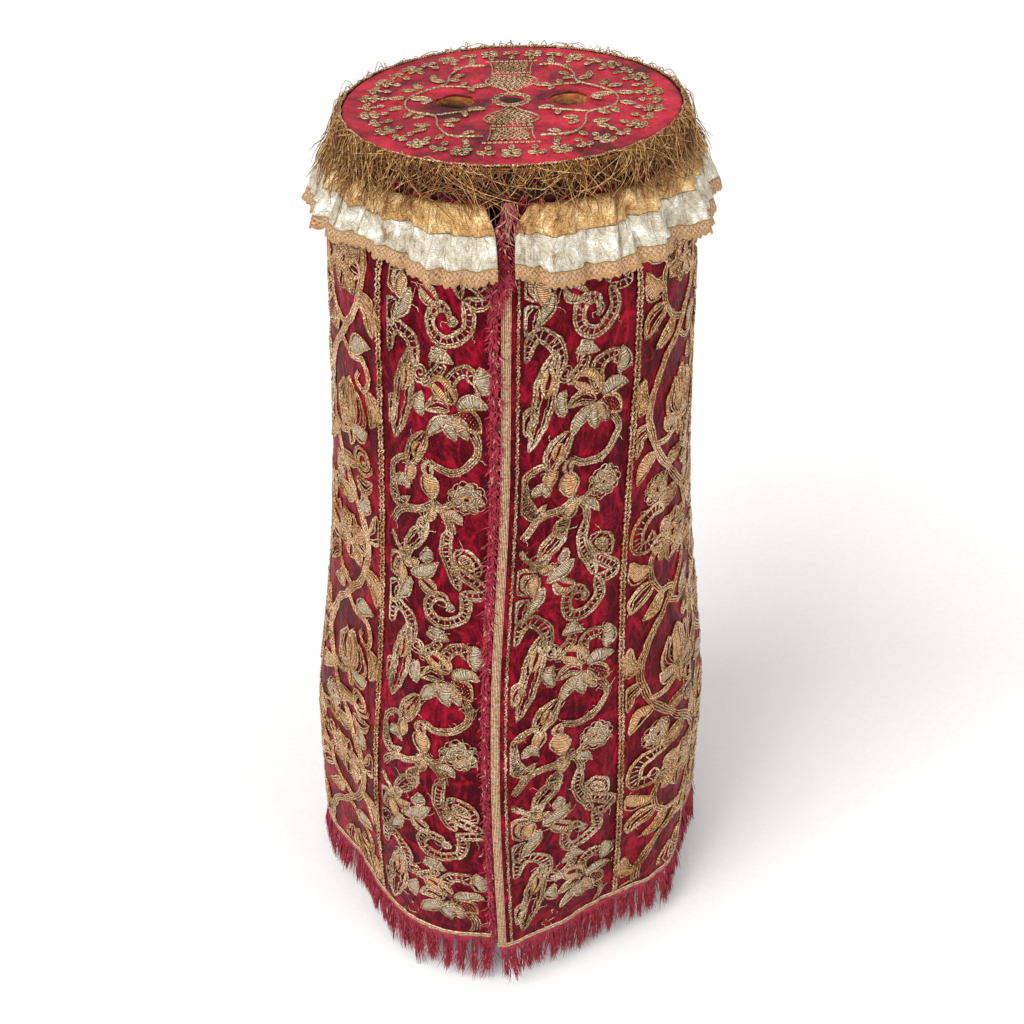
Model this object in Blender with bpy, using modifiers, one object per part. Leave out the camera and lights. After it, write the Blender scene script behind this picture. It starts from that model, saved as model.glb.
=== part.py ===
"""A tall velvet mantle: a round board covered in silk, a gilt fringe and a gathered flounce under its rim,
and a flaring skirt of five velvet panels, with braids on the seams and a silk fringe below the hem.

The origin is the centre of the board's underside, where what the mantle covers carries it. Angles are in
degrees, from 0 at the front (-Y) towards the right (+X), so the opening's left edge is near 356. The board
sits a little out of level, and the cloth hangs straight down from it, so the hem is out of level too.
"""

import math

import bmesh
import bpy
from mathutils import Vector

# How much the board rises towards the right, for each metre
TILT = 0.028

# Board, its silk cover and the two holes
BOARD_RADIUS = 0.138
BOARD_THICKNESS = 0.012
HOLE_RADIUS = 0.0155
COVER_HOLE_RADIUS = 0.0163
HOLE_SPACING = 0.094
SILK = 0.0015
COVER_LOWER_EDGE = 0.0015
GAP = 0.0003
RING_STEPS = 72
HOLE_STEPS = 24

# Tufted band and cord round the rim; below its knee the band stands out over the skirt's top
NECK_BAND = 0.002
NECK_BAND_TOP = 0.0128
NECK_BAND_KNEE = 0.0085
NECK_BAND_BOTTOM = -0.0122
NECK_BAND_FLARE = 0.0043
RIM_CORD_RADIUS = 0.0011

# Gilt fringe under the rim
HEADING_THICKNESS = 0.0018
HEADING_TOP = 0.0126
HEADING_BOTTOM = 0.0093
TOP_LOCKS = 72
TOP_LOCK_CLEARANCE = 0.0042
TOP_LOCK_WIDTHS = (0.0052, 0.0030)
TOP_LOCK_DEPTH = 0.0016
TOP_LOCK_UNEVEN = 0.10
TOP_LOCK_UNEVEN_WAVES = 97
TOP_LOCK_LEAN = [
    dict(waves=3, degrees=3.2, phase=0),
    dict(waves=7, degrees=1.6, phase=1),
]
TOP_LOCK_DROP = 0.9
TOP_FRINGE_LENGTH = [
    dict(angle=0, length=0.030),
    dict(angle=30, length=0.034),
    dict(angle=75, length=0.040),
    dict(angle=130, length=0.040),
    dict(angle=185, length=0.042),
    dict(angle=240, length=0.044),
    dict(angle=290, length=0.048),
    dict(angle=335, length=0.036),
]

# Flounce: inner surface at its middle pleat depth, and where each band ends
FLOUNCE_CLOTH = 0.0016
FLOUNCE_PROFILE = [
    dict(z=-0.0145, radius=0.1440),
    dict(z=-0.0180, radius=0.1490),
    dict(z=-0.0250, radius=0.1538),
    dict(z=-0.0336, radius=0.1575),
    dict(z=-0.0566, radius=0.1670),
    dict(z=-0.0665, radius=0.1705),
]
FLOUNCE_BANDS = [
    dict(name="flounce_gold", top=-0.0145, bottom=-0.0336, rows=3),
    dict(name="flounce_silver", top=-0.0339, bottom=-0.0566, rows=2),
    dict(name="flounce_lace", top=-0.0569, bottom=-0.0665, rows=1),
]
FLOUNCE_COLUMNS = 66
FLOUNCE_HANG = [
    dict(angle=1, share=0.88),
    dict(angle=6, share=0.98),
    dict(angle=16, share=1.10),
    dict(angle=26, share=1.07),
    dict(angle=36, share=1.00),
    dict(angle=52, share=1.02),
    dict(angle=72, share=1.12),
    dict(angle=95, share=1.06),
    dict(angle=180, share=1.00),
    dict(angle=262, share=0.95),
    dict(angle=282, share=0.89),
    dict(angle=299, share=0.84),
    dict(angle=323, share=0.85),
    dict(angle=335, share=0.96),
    dict(angle=343, share=1.05),
    dict(angle=350, share=1.02),
    dict(angle=356, share=0.96),
]
FLOUNCE_PLEATS = [
    dict(angle=14, width=7, out=0.0020),
    dict(angle=25, width=5, out=-0.0025),
    dict(angle=38, width=7, out=0.0025),
    dict(angle=52, width=5, out=-0.0050),
    dict(angle=66, width=7, out=0.0040),
    dict(angle=84, width=6, out=-0.0030),
    dict(angle=100, width=8, out=0.0035),
    dict(angle=122, width=7, out=-0.0040),
    dict(angle=142, width=8, out=0.0030),
    dict(angle=164, width=7, out=-0.0035),
    dict(angle=186, width=9, out=0.0035),
    dict(angle=208, width=7, out=-0.0035),
    dict(angle=228, width=8, out=0.0030),
    dict(angle=250, width=7, out=-0.0035),
    dict(angle=270, width=7, out=0.0050),
    dict(angle=287, width=5, out=-0.0045),
    dict(angle=301, width=6, out=0.0030),
    dict(angle=318, width=6, out=-0.0035),
    dict(angle=336, width=8, out=0.0025),
]
FLOUNCE_SPLIT_LEFT = [
    dict(z=-0.0145, angle=352.1),
    dict(z=-0.0336, angle=355.5),
    dict(z=-0.0850, angle=356.8),
]
FLOUNCE_SPLIT_RIGHT = [
    dict(z=-0.0145, angle=4.7),
    dict(z=-0.0300, angle=1.2),
    dict(z=-0.0850, angle=1.0),
]

# Skirt: its outer surface, as a profile at the sides and an outline at the hem
VELVET = 0.002
SKIRT_TOP = -0.0040
HEM = -0.804
SKIRT_ROWS = 14
SKIRT_PROFILE = [
    dict(z=-0.004, radius=0.1420),
    dict(z=-0.020, radius=0.1440),
    dict(z=-0.045, radius=0.1485),
    dict(z=-0.070, radius=0.1535),
    dict(z=-0.100, radius=0.1585),
    dict(z=-0.160, radius=0.1618),
    dict(z=-0.260, radius=0.1665),
    dict(z=-0.370, radius=0.1740),
    dict(z=-0.440, radius=0.1815),
    dict(z=-0.500, radius=0.1895),
    dict(z=-0.560, radius=0.1985),
    dict(z=-0.625, radius=0.2060),
    dict(z=-0.700, radius=0.2095),
    dict(z=-0.804, radius=0.2110),
]
HEM_OUTLINE = [
    dict(angle=0, radius=0.2065),
    dict(angle=7, radius=0.2020),
    dict(angle=13, radius=0.1975),
    dict(angle=25, radius=0.1866),
    dict(angle=37, radius=0.1878),
    dict(angle=48, radius=0.1968),
    dict(angle=56, radius=0.2030),
    dict(angle=64, radius=0.2010),
    dict(angle=76, radius=0.1930),
    dict(angle=92, radius=0.2085),
    dict(angle=106, radius=0.2130),
    dict(angle=130, radius=0.2050),
    dict(angle=155, radius=0.2120),
    dict(angle=182, radius=0.2040),
    dict(angle=208, radius=0.2110),
    dict(angle=234, radius=0.2040),
    dict(angle=256, radius=0.2095),
    dict(angle=275, radius=0.2120),
    dict(angle=299, radius=0.1890),
    dict(angle=314, radius=0.1965),
    dict(angle=325, radius=0.2041),
    dict(angle=338, radius=0.2098),
    dict(angle=352, radius=0.2055),
]
FLARE_START = -0.06
FLARE_POWER = 1.5
LAP = 0.011
LAP_SPREAD = 8.0

# Where the panels meet
EDGES = dict(
    opening_right=[
        dict(z=-0.004, angle=4.0),
        dict(z=-0.030, angle=-0.5),
        dict(z=-0.060, angle=-3.2),
        dict(z=-0.100, angle=-3.5),
        dict(z=-0.270, angle=-3.9),
        dict(z=-0.490, angle=-6.2),
        dict(z=-0.804, angle=-4.0),
    ],
    front_right=[
        dict(z=-0.004, angle=40.5),
        dict(z=-0.170, angle=39.5),
        dict(z=-0.400, angle=36.0),
        dict(z=-0.600, angle=34.5),
        dict(z=-0.804, angle=35.5),
    ],
    back_right=[dict(z=-0.004, angle=118.0), dict(z=-0.804, angle=120.0)],
    back_left=[dict(z=-0.004, angle=242.0), dict(z=-0.804, angle=240.0)],
    front_left=[dict(z=-0.004, angle=317.5), dict(z=-0.804, angle=316.0)],
    opening_left=[
        dict(z=-0.004, angle=351.0),
        dict(z=-0.030, angle=354.0),
        dict(z=-0.060, angle=355.8),
        dict(z=-0.100, angle=356.3),
        dict(z=-0.270, angle=355.9),
        dict(z=-0.490, angle=353.6),
        dict(z=-0.804, angle=355.8),
    ],
)
PANELS = [
    dict(name="front_panel_right", start="opening_right", end="front_right", columns=9),
    dict(name="side_panel_right", start="front_right", end="back_right", columns=14),
    dict(name="back_panel", start="back_right", end="back_left", columns=20),
    dict(name="side_panel_left", start="back_left", end="front_left", columns=14),
    dict(name="front_panel_left", start="front_left", end="opening_left", columns=9),
]

# Trims on the skirt
TRIM_GAP = 0.0004
TRIM_END_GAP = 0.0005
OPENING_TRIM_TOP = -0.036
GALLOON = 0.0012
HEM_GALLOON_WIDTH = 0.0065
TRIMS = [
    dict(name="seam_braid_front_right", edge="front_right", offset=0.0, width=0.0075, thickness=0.0014),
    dict(name="seam_braid_back_right", edge="back_right", offset=0.0, width=0.0075, thickness=0.0014),
    dict(name="seam_braid_back_left", edge="back_left", offset=0.0, width=0.0075, thickness=0.0014),
    dict(name="seam_braid_front_left", edge="front_left", offset=0.0, width=0.0075, thickness=0.0014),
    dict(name="opening_galloon", edge="opening_right", offset=0.0055, width=0.0100, thickness=0.0012),
    dict(name="opening_couching", edge="opening_right", offset=0.0165, width=0.0024, thickness=0.0010),
    dict(name="opening_tufts", edge="opening_left", offset=-0.0040, width=0.0070, thickness=0.0024),
]

# Silk fringe below the hem
HEM_HEADING_GAP = 0.0006
HEM_HEADING_HEIGHT = 0.004
HEM_HEADING_THICKNESS = 0.0016
HEM_LOCKS = 90
HEM_LOCK_LENGTH = 0.047
HEM_LOCK_UNEVEN = 0.005
HEM_LOCK_UNEVEN_WAVES = 74
HEM_LOCK_LEAN = [
    dict(waves=5, degrees=1.5, phase=0),
    dict(waves=11, degrees=0.9, phase=2),
]
HEM_LOCK_WIDTHS = (0.0068, 0.0034)
HEM_LOCK_DEPTH = 0.0020
HEM_LOCK_OUT = (0.0028, 0.0062)

COLOURS = dict(
    board=(0.42, 0.22, 0.09),
    silk=(0.52, 0.02, 0.05),
    velvet=(0.27, 0.003, 0.02),
    gilt=(0.47, 0.33, 0.14),
    old_gilt=(0.30, 0.18, 0.06),
    gold_cloth=(0.55, 0.36, 0.12),
    silver_cloth=(0.66, 0.64, 0.57),
    lace=(0.74, 0.55, 0.30),
    tufts=(0.22, 0.01, 0.04),
    silk_fringe=(0.33, 0.02, 0.06),
)


def smooth(rows, key, value, at):
    """Reads a table on a smooth curve through its rows, which are in rising or falling order of the key."""
    points = sorted((row[key], row[value]) for row in rows)
    at = min(max(at, points[0][0]), points[-1][0])
    last = len(points) - 1
    i = max(0, min(last - 1, sum(1 for x, _ in points if x <= at) - 1))

    def slope(k):
        """The curve's slope at row k: the chord across its two neighbours."""
        low, high = points[max(k - 1, 0)], points[min(k + 1, last)]
        return (high[1] - low[1]) / (high[0] - low[0])

    (x0, y0), (x1, y1) = points[i], points[i + 1]
    step = x1 - x0
    t = (at - x0) / step
    return (
        y0 * (1 + 2 * t) * (1 - t) ** 2
        + slope(i) * step * t * (1 - t) ** 2
        + y1 * t * t * (3 - 2 * t)
        + slope(i + 1) * step * t * t * (t - 1)
    )


def round_table(rows, value, angle):
    """Reads a table whose angles run once round."""
    turns = [dict(row, angle=row["angle"] + turn) for turn in (-360, 0, 360) for row in rows]
    return smooth(turns, "angle", value, angle % 360)


def lean(rows, angle):
    """How far along the strip a lock has swung by its tip, as a sum of waves round the ring."""
    turn = math.radians(angle)
    return sum(row["degrees"] * math.sin(row["waves"] * turn + row["phase"]) for row in rows)


def polar(angle, radius, z):
    """A point by its angle from the front, its distance from the axis and its height."""
    turn = math.radians(angle)
    return Vector((radius * math.sin(turn), -radius * math.cos(turn), z))


def skirt_radius(angle, z):
    """The skirt's outer surface: round at the neck, and nearer the hem's outline the lower it gets."""
    side = smooth(SKIRT_PROFILE, "z", "radius", z)
    hem = round_table(HEM_OUTLINE, "radius", angle) / SKIRT_PROFILE[-1]["radius"]
    share = max(0.0, (FLARE_START - z) / (FLARE_START - HEM)) ** FLARE_POWER
    edge = smooth(EDGES["opening_right"], "z", "angle", z)
    lap = LAP * share * math.exp(-(((angle - edge) / LAP_SPREAD) ** 2))
    return side * (1 + share * (hem - 1)) + lap


def row_height(row):
    """The height of a row of the skirt's facets."""
    return SKIRT_TOP + (HEM - SKIRT_TOP) * row / SKIRT_ROWS


def faceted_radius(angle, z):
    """The skirt's surface as its facets have it, straight between two rows, so that a trim lies on it evenly."""
    row = (z - SKIRT_TOP) / (HEM - SKIRT_TOP) * SKIRT_ROWS
    upper = max(0, min(SKIRT_ROWS - 1, int(row)))
    share = row - upper
    return skirt_radius(angle, row_height(upper)) * (1 - share) + skirt_radius(angle, row_height(upper + 1)) * share


def flounce_radius(angle, z):
    """The flounce's inner surface, with pleats that deepen from the gathered top to the free edge."""
    top, bottom = FLOUNCE_PROFILE[0]["z"], FLOUNCE_PROFILE[-1]["z"]
    depth = min(1.0, max(0.0, (top - z) / (top - bottom)))
    radius = smooth(FLOUNCE_PROFILE, "z", "radius", z)
    for pleat in FLOUNCE_PLEATS:
        radius += pleat["out"] * depth * math.exp(-(((angle - pleat["angle"]) / pleat["width"]) ** 2))
    return radius


def flounce_height(angle, z):
    """Where a height of the even flounce lies once its hang at that angle is counted."""
    top = FLOUNCE_PROFILE[0]["z"]
    return top + (z - top) * round_table(FLOUNCE_HANG, "share", angle)


def flounce_even_height(angle, z):
    """The height on the even flounce that lies at this height."""
    top = FLOUNCE_PROFILE[0]["z"]
    return top + (z - top) / round_table(FLOUNCE_HANG, "share", angle)


def material(name, colour, roughness, metallic=0.0):
    """A plain finish for one sub-part."""
    made = bpy.data.materials.new(name)
    made.use_nodes = True
    shader = made.node_tree.nodes["Principled BSDF"]
    shader.inputs["Base Color"].default_value = (*colour, 1.0)
    shader.inputs["Roughness"].default_value = roughness
    shader.inputs["Metallic"].default_value = metallic
    return made


def rigid(made):
    """Sets a piece on the tilted top."""
    made.parent = bpy.data.objects["top_tilt"]
    return made


def hang(bm):
    """Lets cloth down straight from the tilted top."""
    for vert in bm.verts:
        vert.co.z += TILT * vert.co.x


def finished(name, bm, colour, roughness, metallic=0.0, collection="torah_mantle"):
    """Turns a bmesh into a named object with its own material."""
    mesh = bpy.data.meshes.new(name)
    bm.to_mesh(mesh)
    bm.free()
    made = bpy.data.objects.new(name, mesh)
    bpy.data.collections[collection].objects.link(made)
    mesh.materials.append(material(name, COLOURS[colour], roughness, metallic))
    mesh.shade_smooth()
    mesh.set_sharp_from_angle(angle=math.radians(35))
    return made


def sheet(name, columns, rows, place, thickness, outward, colour, roughness, metallic=0.0):
    """A sheet of cloth: a grid laid over a surface by place(across, up), then given its thickness."""
    bm = bmesh.new()
    bmesh.ops.create_grid(bm, x_segments=columns, y_segments=rows, size=0.5)
    for vert in bm.verts:
        vert.co = place(vert.co.x + 0.5, vert.co.y + 0.5)
    hang(bm)
    made = finished(name, bm, colour, roughness, metallic)
    wall = made.modifiers.new("thickness", "SOLIDIFY")
    wall.thickness = thickness
    wall.offset = 1.0 if outward else -1.0
    wall.use_even_offset = True
    return made


def disc(name, radius, bottom, top, steps, collection="torah_mantle", colour="board", roughness=0.6):
    """An upright cylinder between two heights."""
    bm = bmesh.new()
    bmesh.ops.create_cone(
        bm, cap_ends=True, segments=steps, radius1=radius, radius2=radius, depth=top - bottom
    )
    bmesh.ops.translate(bm, verts=bm.verts, vec=(0, 0, (top + bottom) / 2))
    return rigid(finished(name, bm, colour, roughness, 0.0, collection))


def cut(target, cutter):
    """Takes the cutter's shape out of the target."""
    hole = target.modifiers.new("cut_" + cutter.name, "BOOLEAN")
    hole.operation = "DIFFERENCE"
    hole.solver = "EXACT"
    hole.object = cutter
    cutter.hide_render = True
    cutter.display_type = "WIRE"


def hole_cutters(target, radius):
    """The two round holes, through the whole target."""
    for side, place in (("left", -HOLE_SPACING / 2), ("right", HOLE_SPACING / 2)):
        cutter = disc(
            f"{target.name}_hole_{side}", radius, -BOARD_THICKNESS, 3 * BOARD_THICKNESS, HOLE_STEPS,
            collection="torah_mantle_cutters",
        )
        cutter.location.x = place
        cut(target, cutter)


def top_board():
    """The wooden board, with a hole for each handle."""
    board = disc("top_board", BOARD_RADIUS, 0, BOARD_THICKNESS, RING_STEPS)
    hole_cutters(board, HOLE_RADIUS)


def top_cover():
    """The silk over the board, turned down round its side."""
    inner = BOARD_RADIUS + GAP
    under = BOARD_THICKNESS + GAP
    cover = disc(
        "top_cover", inner + SILK, COVER_LOWER_EDGE, under + SILK, RING_STEPS, colour="silk", roughness=0.55
    )
    hollow = disc(
        "top_cover_hollow", inner, -BOARD_THICKNESS, under, RING_STEPS, collection="torah_mantle_cutters"
    )
    cut(cover, hollow)
    hole_cutters(cover, COVER_HOLE_RADIUS)


def neck_band():
    """The tufted band round the rim, turned: upright behind the fringe's heading, then flaring to the flounce."""
    inner = BOARD_RADIUS + GAP + SILK + GAP
    bm = bmesh.new()
    low = inner + NECK_BAND_FLARE
    corners = (
        (inner, NECK_BAND_TOP),
        (inner + NECK_BAND, NECK_BAND_TOP),
        (inner + NECK_BAND, NECK_BAND_KNEE),
        (low + NECK_BAND, NECK_BAND_BOTTOM),
        (low, NECK_BAND_BOTTOM),
        (inner, NECK_BAND_KNEE),
    )
    verts = [bm.verts.new((x, 0, z)) for x, z in corners]
    for k, vert in enumerate(verts):
        bm.edges.new((vert, verts[(k + 1) % len(verts)]))
    ring = finished("neck_band", bm, "tufts", 0.9)
    turn = ring.modifiers.new("turn", "SCREW")
    turn.steps = RING_STEPS
    turn.render_steps = RING_STEPS
    turn.use_merge_vertices = True
    turn.merge_threshold = 0.00005
    rigid(ring)


def rim_cord():
    """The gilt cord laid along the edge of the top, on the braid."""
    sides = 5
    silk_edge = BOARD_RADIUS + GAP + SILK
    bpy.ops.mesh.primitive_torus_add(
        major_segments=RING_STEPS,
        minor_segments=sides,
        major_radius=silk_edge + GAP + RIM_CORD_RADIUS,
        minor_radius=RIM_CORD_RADIUS,
        location=(0, 0, NECK_BAND_TOP + GAP + RIM_CORD_RADIUS),
    )
    cord = bpy.context.object
    cord.name = "rim_cord"
    cord.data.name = "rim_cord"
    for holder in list(cord.users_collection):
        holder.objects.unlink(cord)
    bpy.data.collections["torah_mantle"].objects.link(cord)
    cord.data.materials.append(material("rim_cord", COLOURS["gilt"], 0.45, 0.6))
    rigid(cord)


def fringe(locks, edge, top, bottom, inner, thickness, rings, closed):
    """A heading strip with locks drawn down out of every second facet of its lower edge, as a bmesh.

    edge gives the angles where the strip starts and ends, inner(angle) its inner radius, and rings(angle)
    the end faces of the lock rooted at that angle, as (angle, radius, z, width, depth), from the root down.
    """
    start, end = edge
    bm = bmesh.new()
    bmesh.ops.create_grid(bm, x_segments=2 * locks, y_segments=1, size=0.5)
    for vert in bm.verts:
        angle = start + (end - start) * (vert.co.x + 0.5)
        vert.co = polar(angle, inner(angle), top if vert.co.y > 0 else bottom)
    if closed:
        bmesh.ops.remove_doubles(bm, verts=bm.verts, dist=0.00002)
    wall = bmesh.ops.extrude_face_region(bm, geom=bm.faces[:])
    for vert in (item for item in wall["geom"] if isinstance(item, bmesh.types.BMVert)):
        flat = Vector((vert.co.x, vert.co.y, 0)).normalized()
        vert.co += flat * thickness
    bmesh.ops.recalc_face_normals(bm, faces=bm.faces)

    def place(point):
        """The angle of a point of the strip, counted on from its start."""
        angle = math.degrees(math.atan2(point.x, -point.y))
        return (angle - start + 0.01) % 360 + start - 0.01

    def corner(point, root):
        """Which side of the root a corner lies on, along the strip and across its thickness."""
        along = point.dot(polar(root + 90, 1, 0))
        across = math.hypot(point.x, point.y) - inner(place(point)) - thickness / 2
        return math.copysign(0.5, along), math.copysign(0.5, across)

    low = [face for face in bm.faces if all(abs(vert.co.z - bottom) < 1e-6 for vert in face.verts)]
    low.sort(key=lambda face: place(face.calc_center_median()))
    for face in low[::2]:
        root = place(face.calc_center_median())
        corners = [corner(vert.co, root) for vert in face.verts]
        for angle, radius, z, width, depth in rings(root):
            face = bmesh.ops.extrude_discrete_faces(bm, faces=[face])["faces"][0]
            along, out = polar(angle + 90, 1, 0), polar(angle, 1, 0)
            for vert, (sideways, outwards) in zip(face.verts, corners):
                vert.co = polar(angle, radius, z) + along * sideways * width + out * outwards * depth
    return bm


def top_fringe():
    """The gilt fringe, which falls from the rim over the upper part of the flounce."""
    inner = BOARD_RADIUS + GAP + SILK + GAP + NECK_BAND + GAP

    def rings(root):
        length = round_table(TOP_FRINGE_LENGTH, "length", root)
        length *= 1 + TOP_LOCK_UNEVEN * math.sin(TOP_LOCK_UNEVEN_WAVES * math.radians(root))
        for share, width in zip((0.45, 1.0), TOP_LOCK_WIDTHS):
            z = HEADING_BOTTOM - length * share * TOP_LOCK_DROP
            angle = root + lean(TOP_LOCK_LEAN, root) * share
            radius = flounce_radius(angle, flounce_even_height(angle, z))
            radius += FLOUNCE_CLOTH + TOP_LOCK_CLEARANCE + TOP_LOCK_DEPTH / 2
            yield angle, radius, z, width, TOP_LOCK_DEPTH

    bm = fringe(
        TOP_LOCKS, (0, 360), HEADING_TOP, HEADING_BOTTOM, lambda angle: inner, HEADING_THICKNESS, rings, True
    )
    rigid(finished("top_fringe", bm, "old_gilt", 0.45, 0.6))


def flounce():
    """The gathered flounce: three bands sewn edge to edge, parted at the front."""
    finish = dict(
        flounce_gold=("gold_cloth", 0.45, 0.5),
        flounce_silver=("silver_cloth", 0.45, 0.5),
        flounce_lace=("lace", 0.7, 0.2),
    )
    for band in FLOUNCE_BANDS:

        def place(across, up, band=band):
            z = band["bottom"] + (band["top"] - band["bottom"]) * up
            left = smooth(FLOUNCE_SPLIT_LEFT, "z", "angle", z)
            right = smooth(FLOUNCE_SPLIT_RIGHT, "z", "angle", z)
            angle = right + (left - right) * across
            return polar(angle, flounce_radius(angle, z), flounce_height(angle, z))

        colour, roughness, metallic = finish[band["name"]]
        sheet(
            band["name"], FLOUNCE_COLUMNS, band["rows"], place, FLOUNCE_CLOTH, True, colour, roughness, metallic
        )


def panel_angle(panel, across, z):
    """The angle at a share of the way across a panel, with a hair's gap left at its seams."""
    start = smooth(EDGES[panel["start"]], "z", "angle", z)
    end = smooth(EDGES[panel["end"]], "z", "angle", z)
    seam = math.degrees(GAP / 2 / skirt_radius(start, z))
    return start + seam + (end - start - 2 * seam) * across


def skirt_panels():
    """The five velvet panels and the galloon on the hem of each."""
    for panel in PANELS:

        def cloth(across, up, panel=panel):
            z = row_height(SKIRT_ROWS * (1 - up))
            angle = panel_angle(panel, across, z)
            return polar(angle, skirt_radius(angle, z), z)

        def braid(across, up, panel=panel):
            z = HEM + HEM_GALLOON_WIDTH * up
            angle = panel_angle(panel, across, HEM)
            return polar(angle, faceted_radius(angle, z) + TRIM_GAP, z)

        sheet(panel["name"], panel["columns"], SKIRT_ROWS, cloth, VELVET, False, "velvet", 0.85)
        sheet(
            "hem_galloon_" + panel["name"], panel["columns"], 1, braid, GALLOON, True, "gilt", 0.45, 0.5
        )


def trims():
    """The upright trims: braids over the seams, and the galloon, couching and tufts at the opening."""
    below = [row_height(row) for row in range(1, SKIRT_ROWS)] + [HEM + HEM_GALLOON_WIDTH + TRIM_END_GAP]
    for trim in TRIMS:
        heights = [OPENING_TRIM_TOP] + below if trim["name"].startswith("opening") else below

        def place(across, up, trim=trim, heights=heights):
            z = heights[round((1 - up) * (len(heights) - 1))]
            edge = smooth(EDGES[trim["edge"]], "z", "angle", z)
            sideways = trim["offset"] + trim["width"] * (across - 0.5)
            angle = edge + math.degrees(sideways / skirt_radius(edge, z))
            return polar(angle, faceted_radius(angle, z) + TRIM_GAP, z)

        colour = "tufts" if trim["name"] == "opening_tufts" else "gilt"
        metallic = 0.0 if colour == "tufts" else 0.5
        sheet(trim["name"], 1, len(heights) - 1, place, trim["thickness"], True, colour, 0.5, metallic)


def hem_fringe():
    """The silk fringe, from one side of the opening round to the other."""
    edge = (EDGES["opening_right"][-1]["angle"] + 0.2, EDGES["opening_left"][-1]["angle"] - 0.2)
    top = HEM - HEM_HEADING_GAP
    bottom = top - HEM_HEADING_HEIGHT

    def inner(angle):
        return skirt_radius(angle, HEM) - VELVET

    def rings(root):
        length = HEM_LOCK_LENGTH + HEM_LOCK_UNEVEN * math.sin(HEM_LOCK_UNEVEN_WAVES * math.radians(root))
        middle = HEM_HEADING_THICKNESS / 2
        for share, width, out in zip((0.5, 1.0), HEM_LOCK_WIDTHS, HEM_LOCK_OUT):
            angle = root + lean(HEM_LOCK_LEAN, root) * share
            radius = inner(angle) + middle + out
            yield angle, radius, bottom - length * share, width, HEM_LOCK_DEPTH

    bm = fringe(HEM_LOCKS, edge, top, bottom, inner, HEM_HEADING_THICKNESS, rings, False)
    hang(bm)
    finished("hem_fringe", bm, "silk_fringe", 0.6)


def main():
    for item in list(bpy.data.objects):
        bpy.data.objects.remove(item)
    for name in ("torah_mantle", "torah_mantle_cutters"):
        bpy.context.scene.collection.children.link(bpy.data.collections.new(name))
    top_tilt = bpy.data.objects.new("top_tilt", None)
    top_tilt.rotation_euler.y = -math.atan(TILT)
    bpy.data.collections["torah_mantle"].objects.link(top_tilt)
    top_board()
    top_cover()
    neck_band()
    rim_cord()
    top_fringe()
    flounce()
    skirt_panels()
    trims()
    hem_fringe()


main()
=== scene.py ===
"""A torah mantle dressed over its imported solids: crushed velvet panels worked in metal thread, a silk covered
top, a gathered flounce of gold and silver cloth, and silk and metal fringes.

Lengths are in metres, and those of the embroidery's designs in millimetres. Angles are in degrees, from 0 at
the front (-Y) towards the right (+X). The top sits a little out of level and the cloth hangs straight from
it. A table's rows are tuples, and the comment above it names what they hold.
"""

import math

import bmesh
import bpy
import numpy as np
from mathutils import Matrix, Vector


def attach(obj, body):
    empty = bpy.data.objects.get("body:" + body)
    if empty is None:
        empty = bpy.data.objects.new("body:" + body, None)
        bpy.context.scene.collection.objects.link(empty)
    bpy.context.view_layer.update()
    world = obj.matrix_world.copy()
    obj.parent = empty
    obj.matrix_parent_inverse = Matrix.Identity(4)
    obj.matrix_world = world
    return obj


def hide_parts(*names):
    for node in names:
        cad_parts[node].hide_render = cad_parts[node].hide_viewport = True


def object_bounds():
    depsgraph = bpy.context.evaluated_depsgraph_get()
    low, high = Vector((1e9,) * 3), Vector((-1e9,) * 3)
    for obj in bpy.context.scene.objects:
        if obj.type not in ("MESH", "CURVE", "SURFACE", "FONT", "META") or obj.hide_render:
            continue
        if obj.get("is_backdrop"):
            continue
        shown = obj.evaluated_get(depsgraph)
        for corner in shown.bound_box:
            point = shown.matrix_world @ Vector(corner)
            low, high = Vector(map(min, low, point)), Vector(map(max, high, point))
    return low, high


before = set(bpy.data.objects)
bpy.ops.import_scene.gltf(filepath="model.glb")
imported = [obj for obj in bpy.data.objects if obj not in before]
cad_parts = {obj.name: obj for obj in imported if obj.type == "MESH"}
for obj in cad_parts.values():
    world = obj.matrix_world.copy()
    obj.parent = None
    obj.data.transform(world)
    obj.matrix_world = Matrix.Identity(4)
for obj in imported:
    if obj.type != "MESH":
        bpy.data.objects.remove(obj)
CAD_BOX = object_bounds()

bl_info = {
    "name": "Torah mantle",
    "version": (1, 0, 0),
    "blender": (4, 5, 0),
    "location": "3D View > Sidebar > Mantle",
    "description": "Dresses the mantle's solids in velvet, silk, metal thread embroidery and fringes",
    "category": "Object",
}

# Sizes that the solids have too. Profiles hold (z, radius), outlines (angle, radius) and edges (z, angle)
TILT = 0.028
COVER_HOLE_RADIUS = 0.0163
HOLE_SPACING = 0.094
SILK_EDGE = 0.1398
SILK_TOP = 0.0138
COVER_LOWER_EDGE = 0.0015
NECK_INNER = 0.1401
NECK_TOP = 0.0128
NECK_KNEE = 0.0085
NECK_BOTTOM = -0.0122
NECK_FLARE = 0.0043
FLOUNCE_CLOTH = 0.0016
FLOUNCE_TOP = -0.0145
FLOUNCE_BOTTOM = -0.0665
FLOUNCE_PROFILE = [
    (-0.0145, 0.1440), (-0.0180, 0.1490), (-0.0250, 0.1538), (-0.0336, 0.1575), (-0.0566, 0.1670),
    (-0.0665, 0.1705),
]
# Name, upper and lower edge
FLOUNCE_BANDS = [
    ("flounce_gold", -0.0145, -0.0336), ("flounce_silver", -0.0339, -0.0566),
    ("flounce_lace", -0.0569, -0.0665),
]
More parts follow.
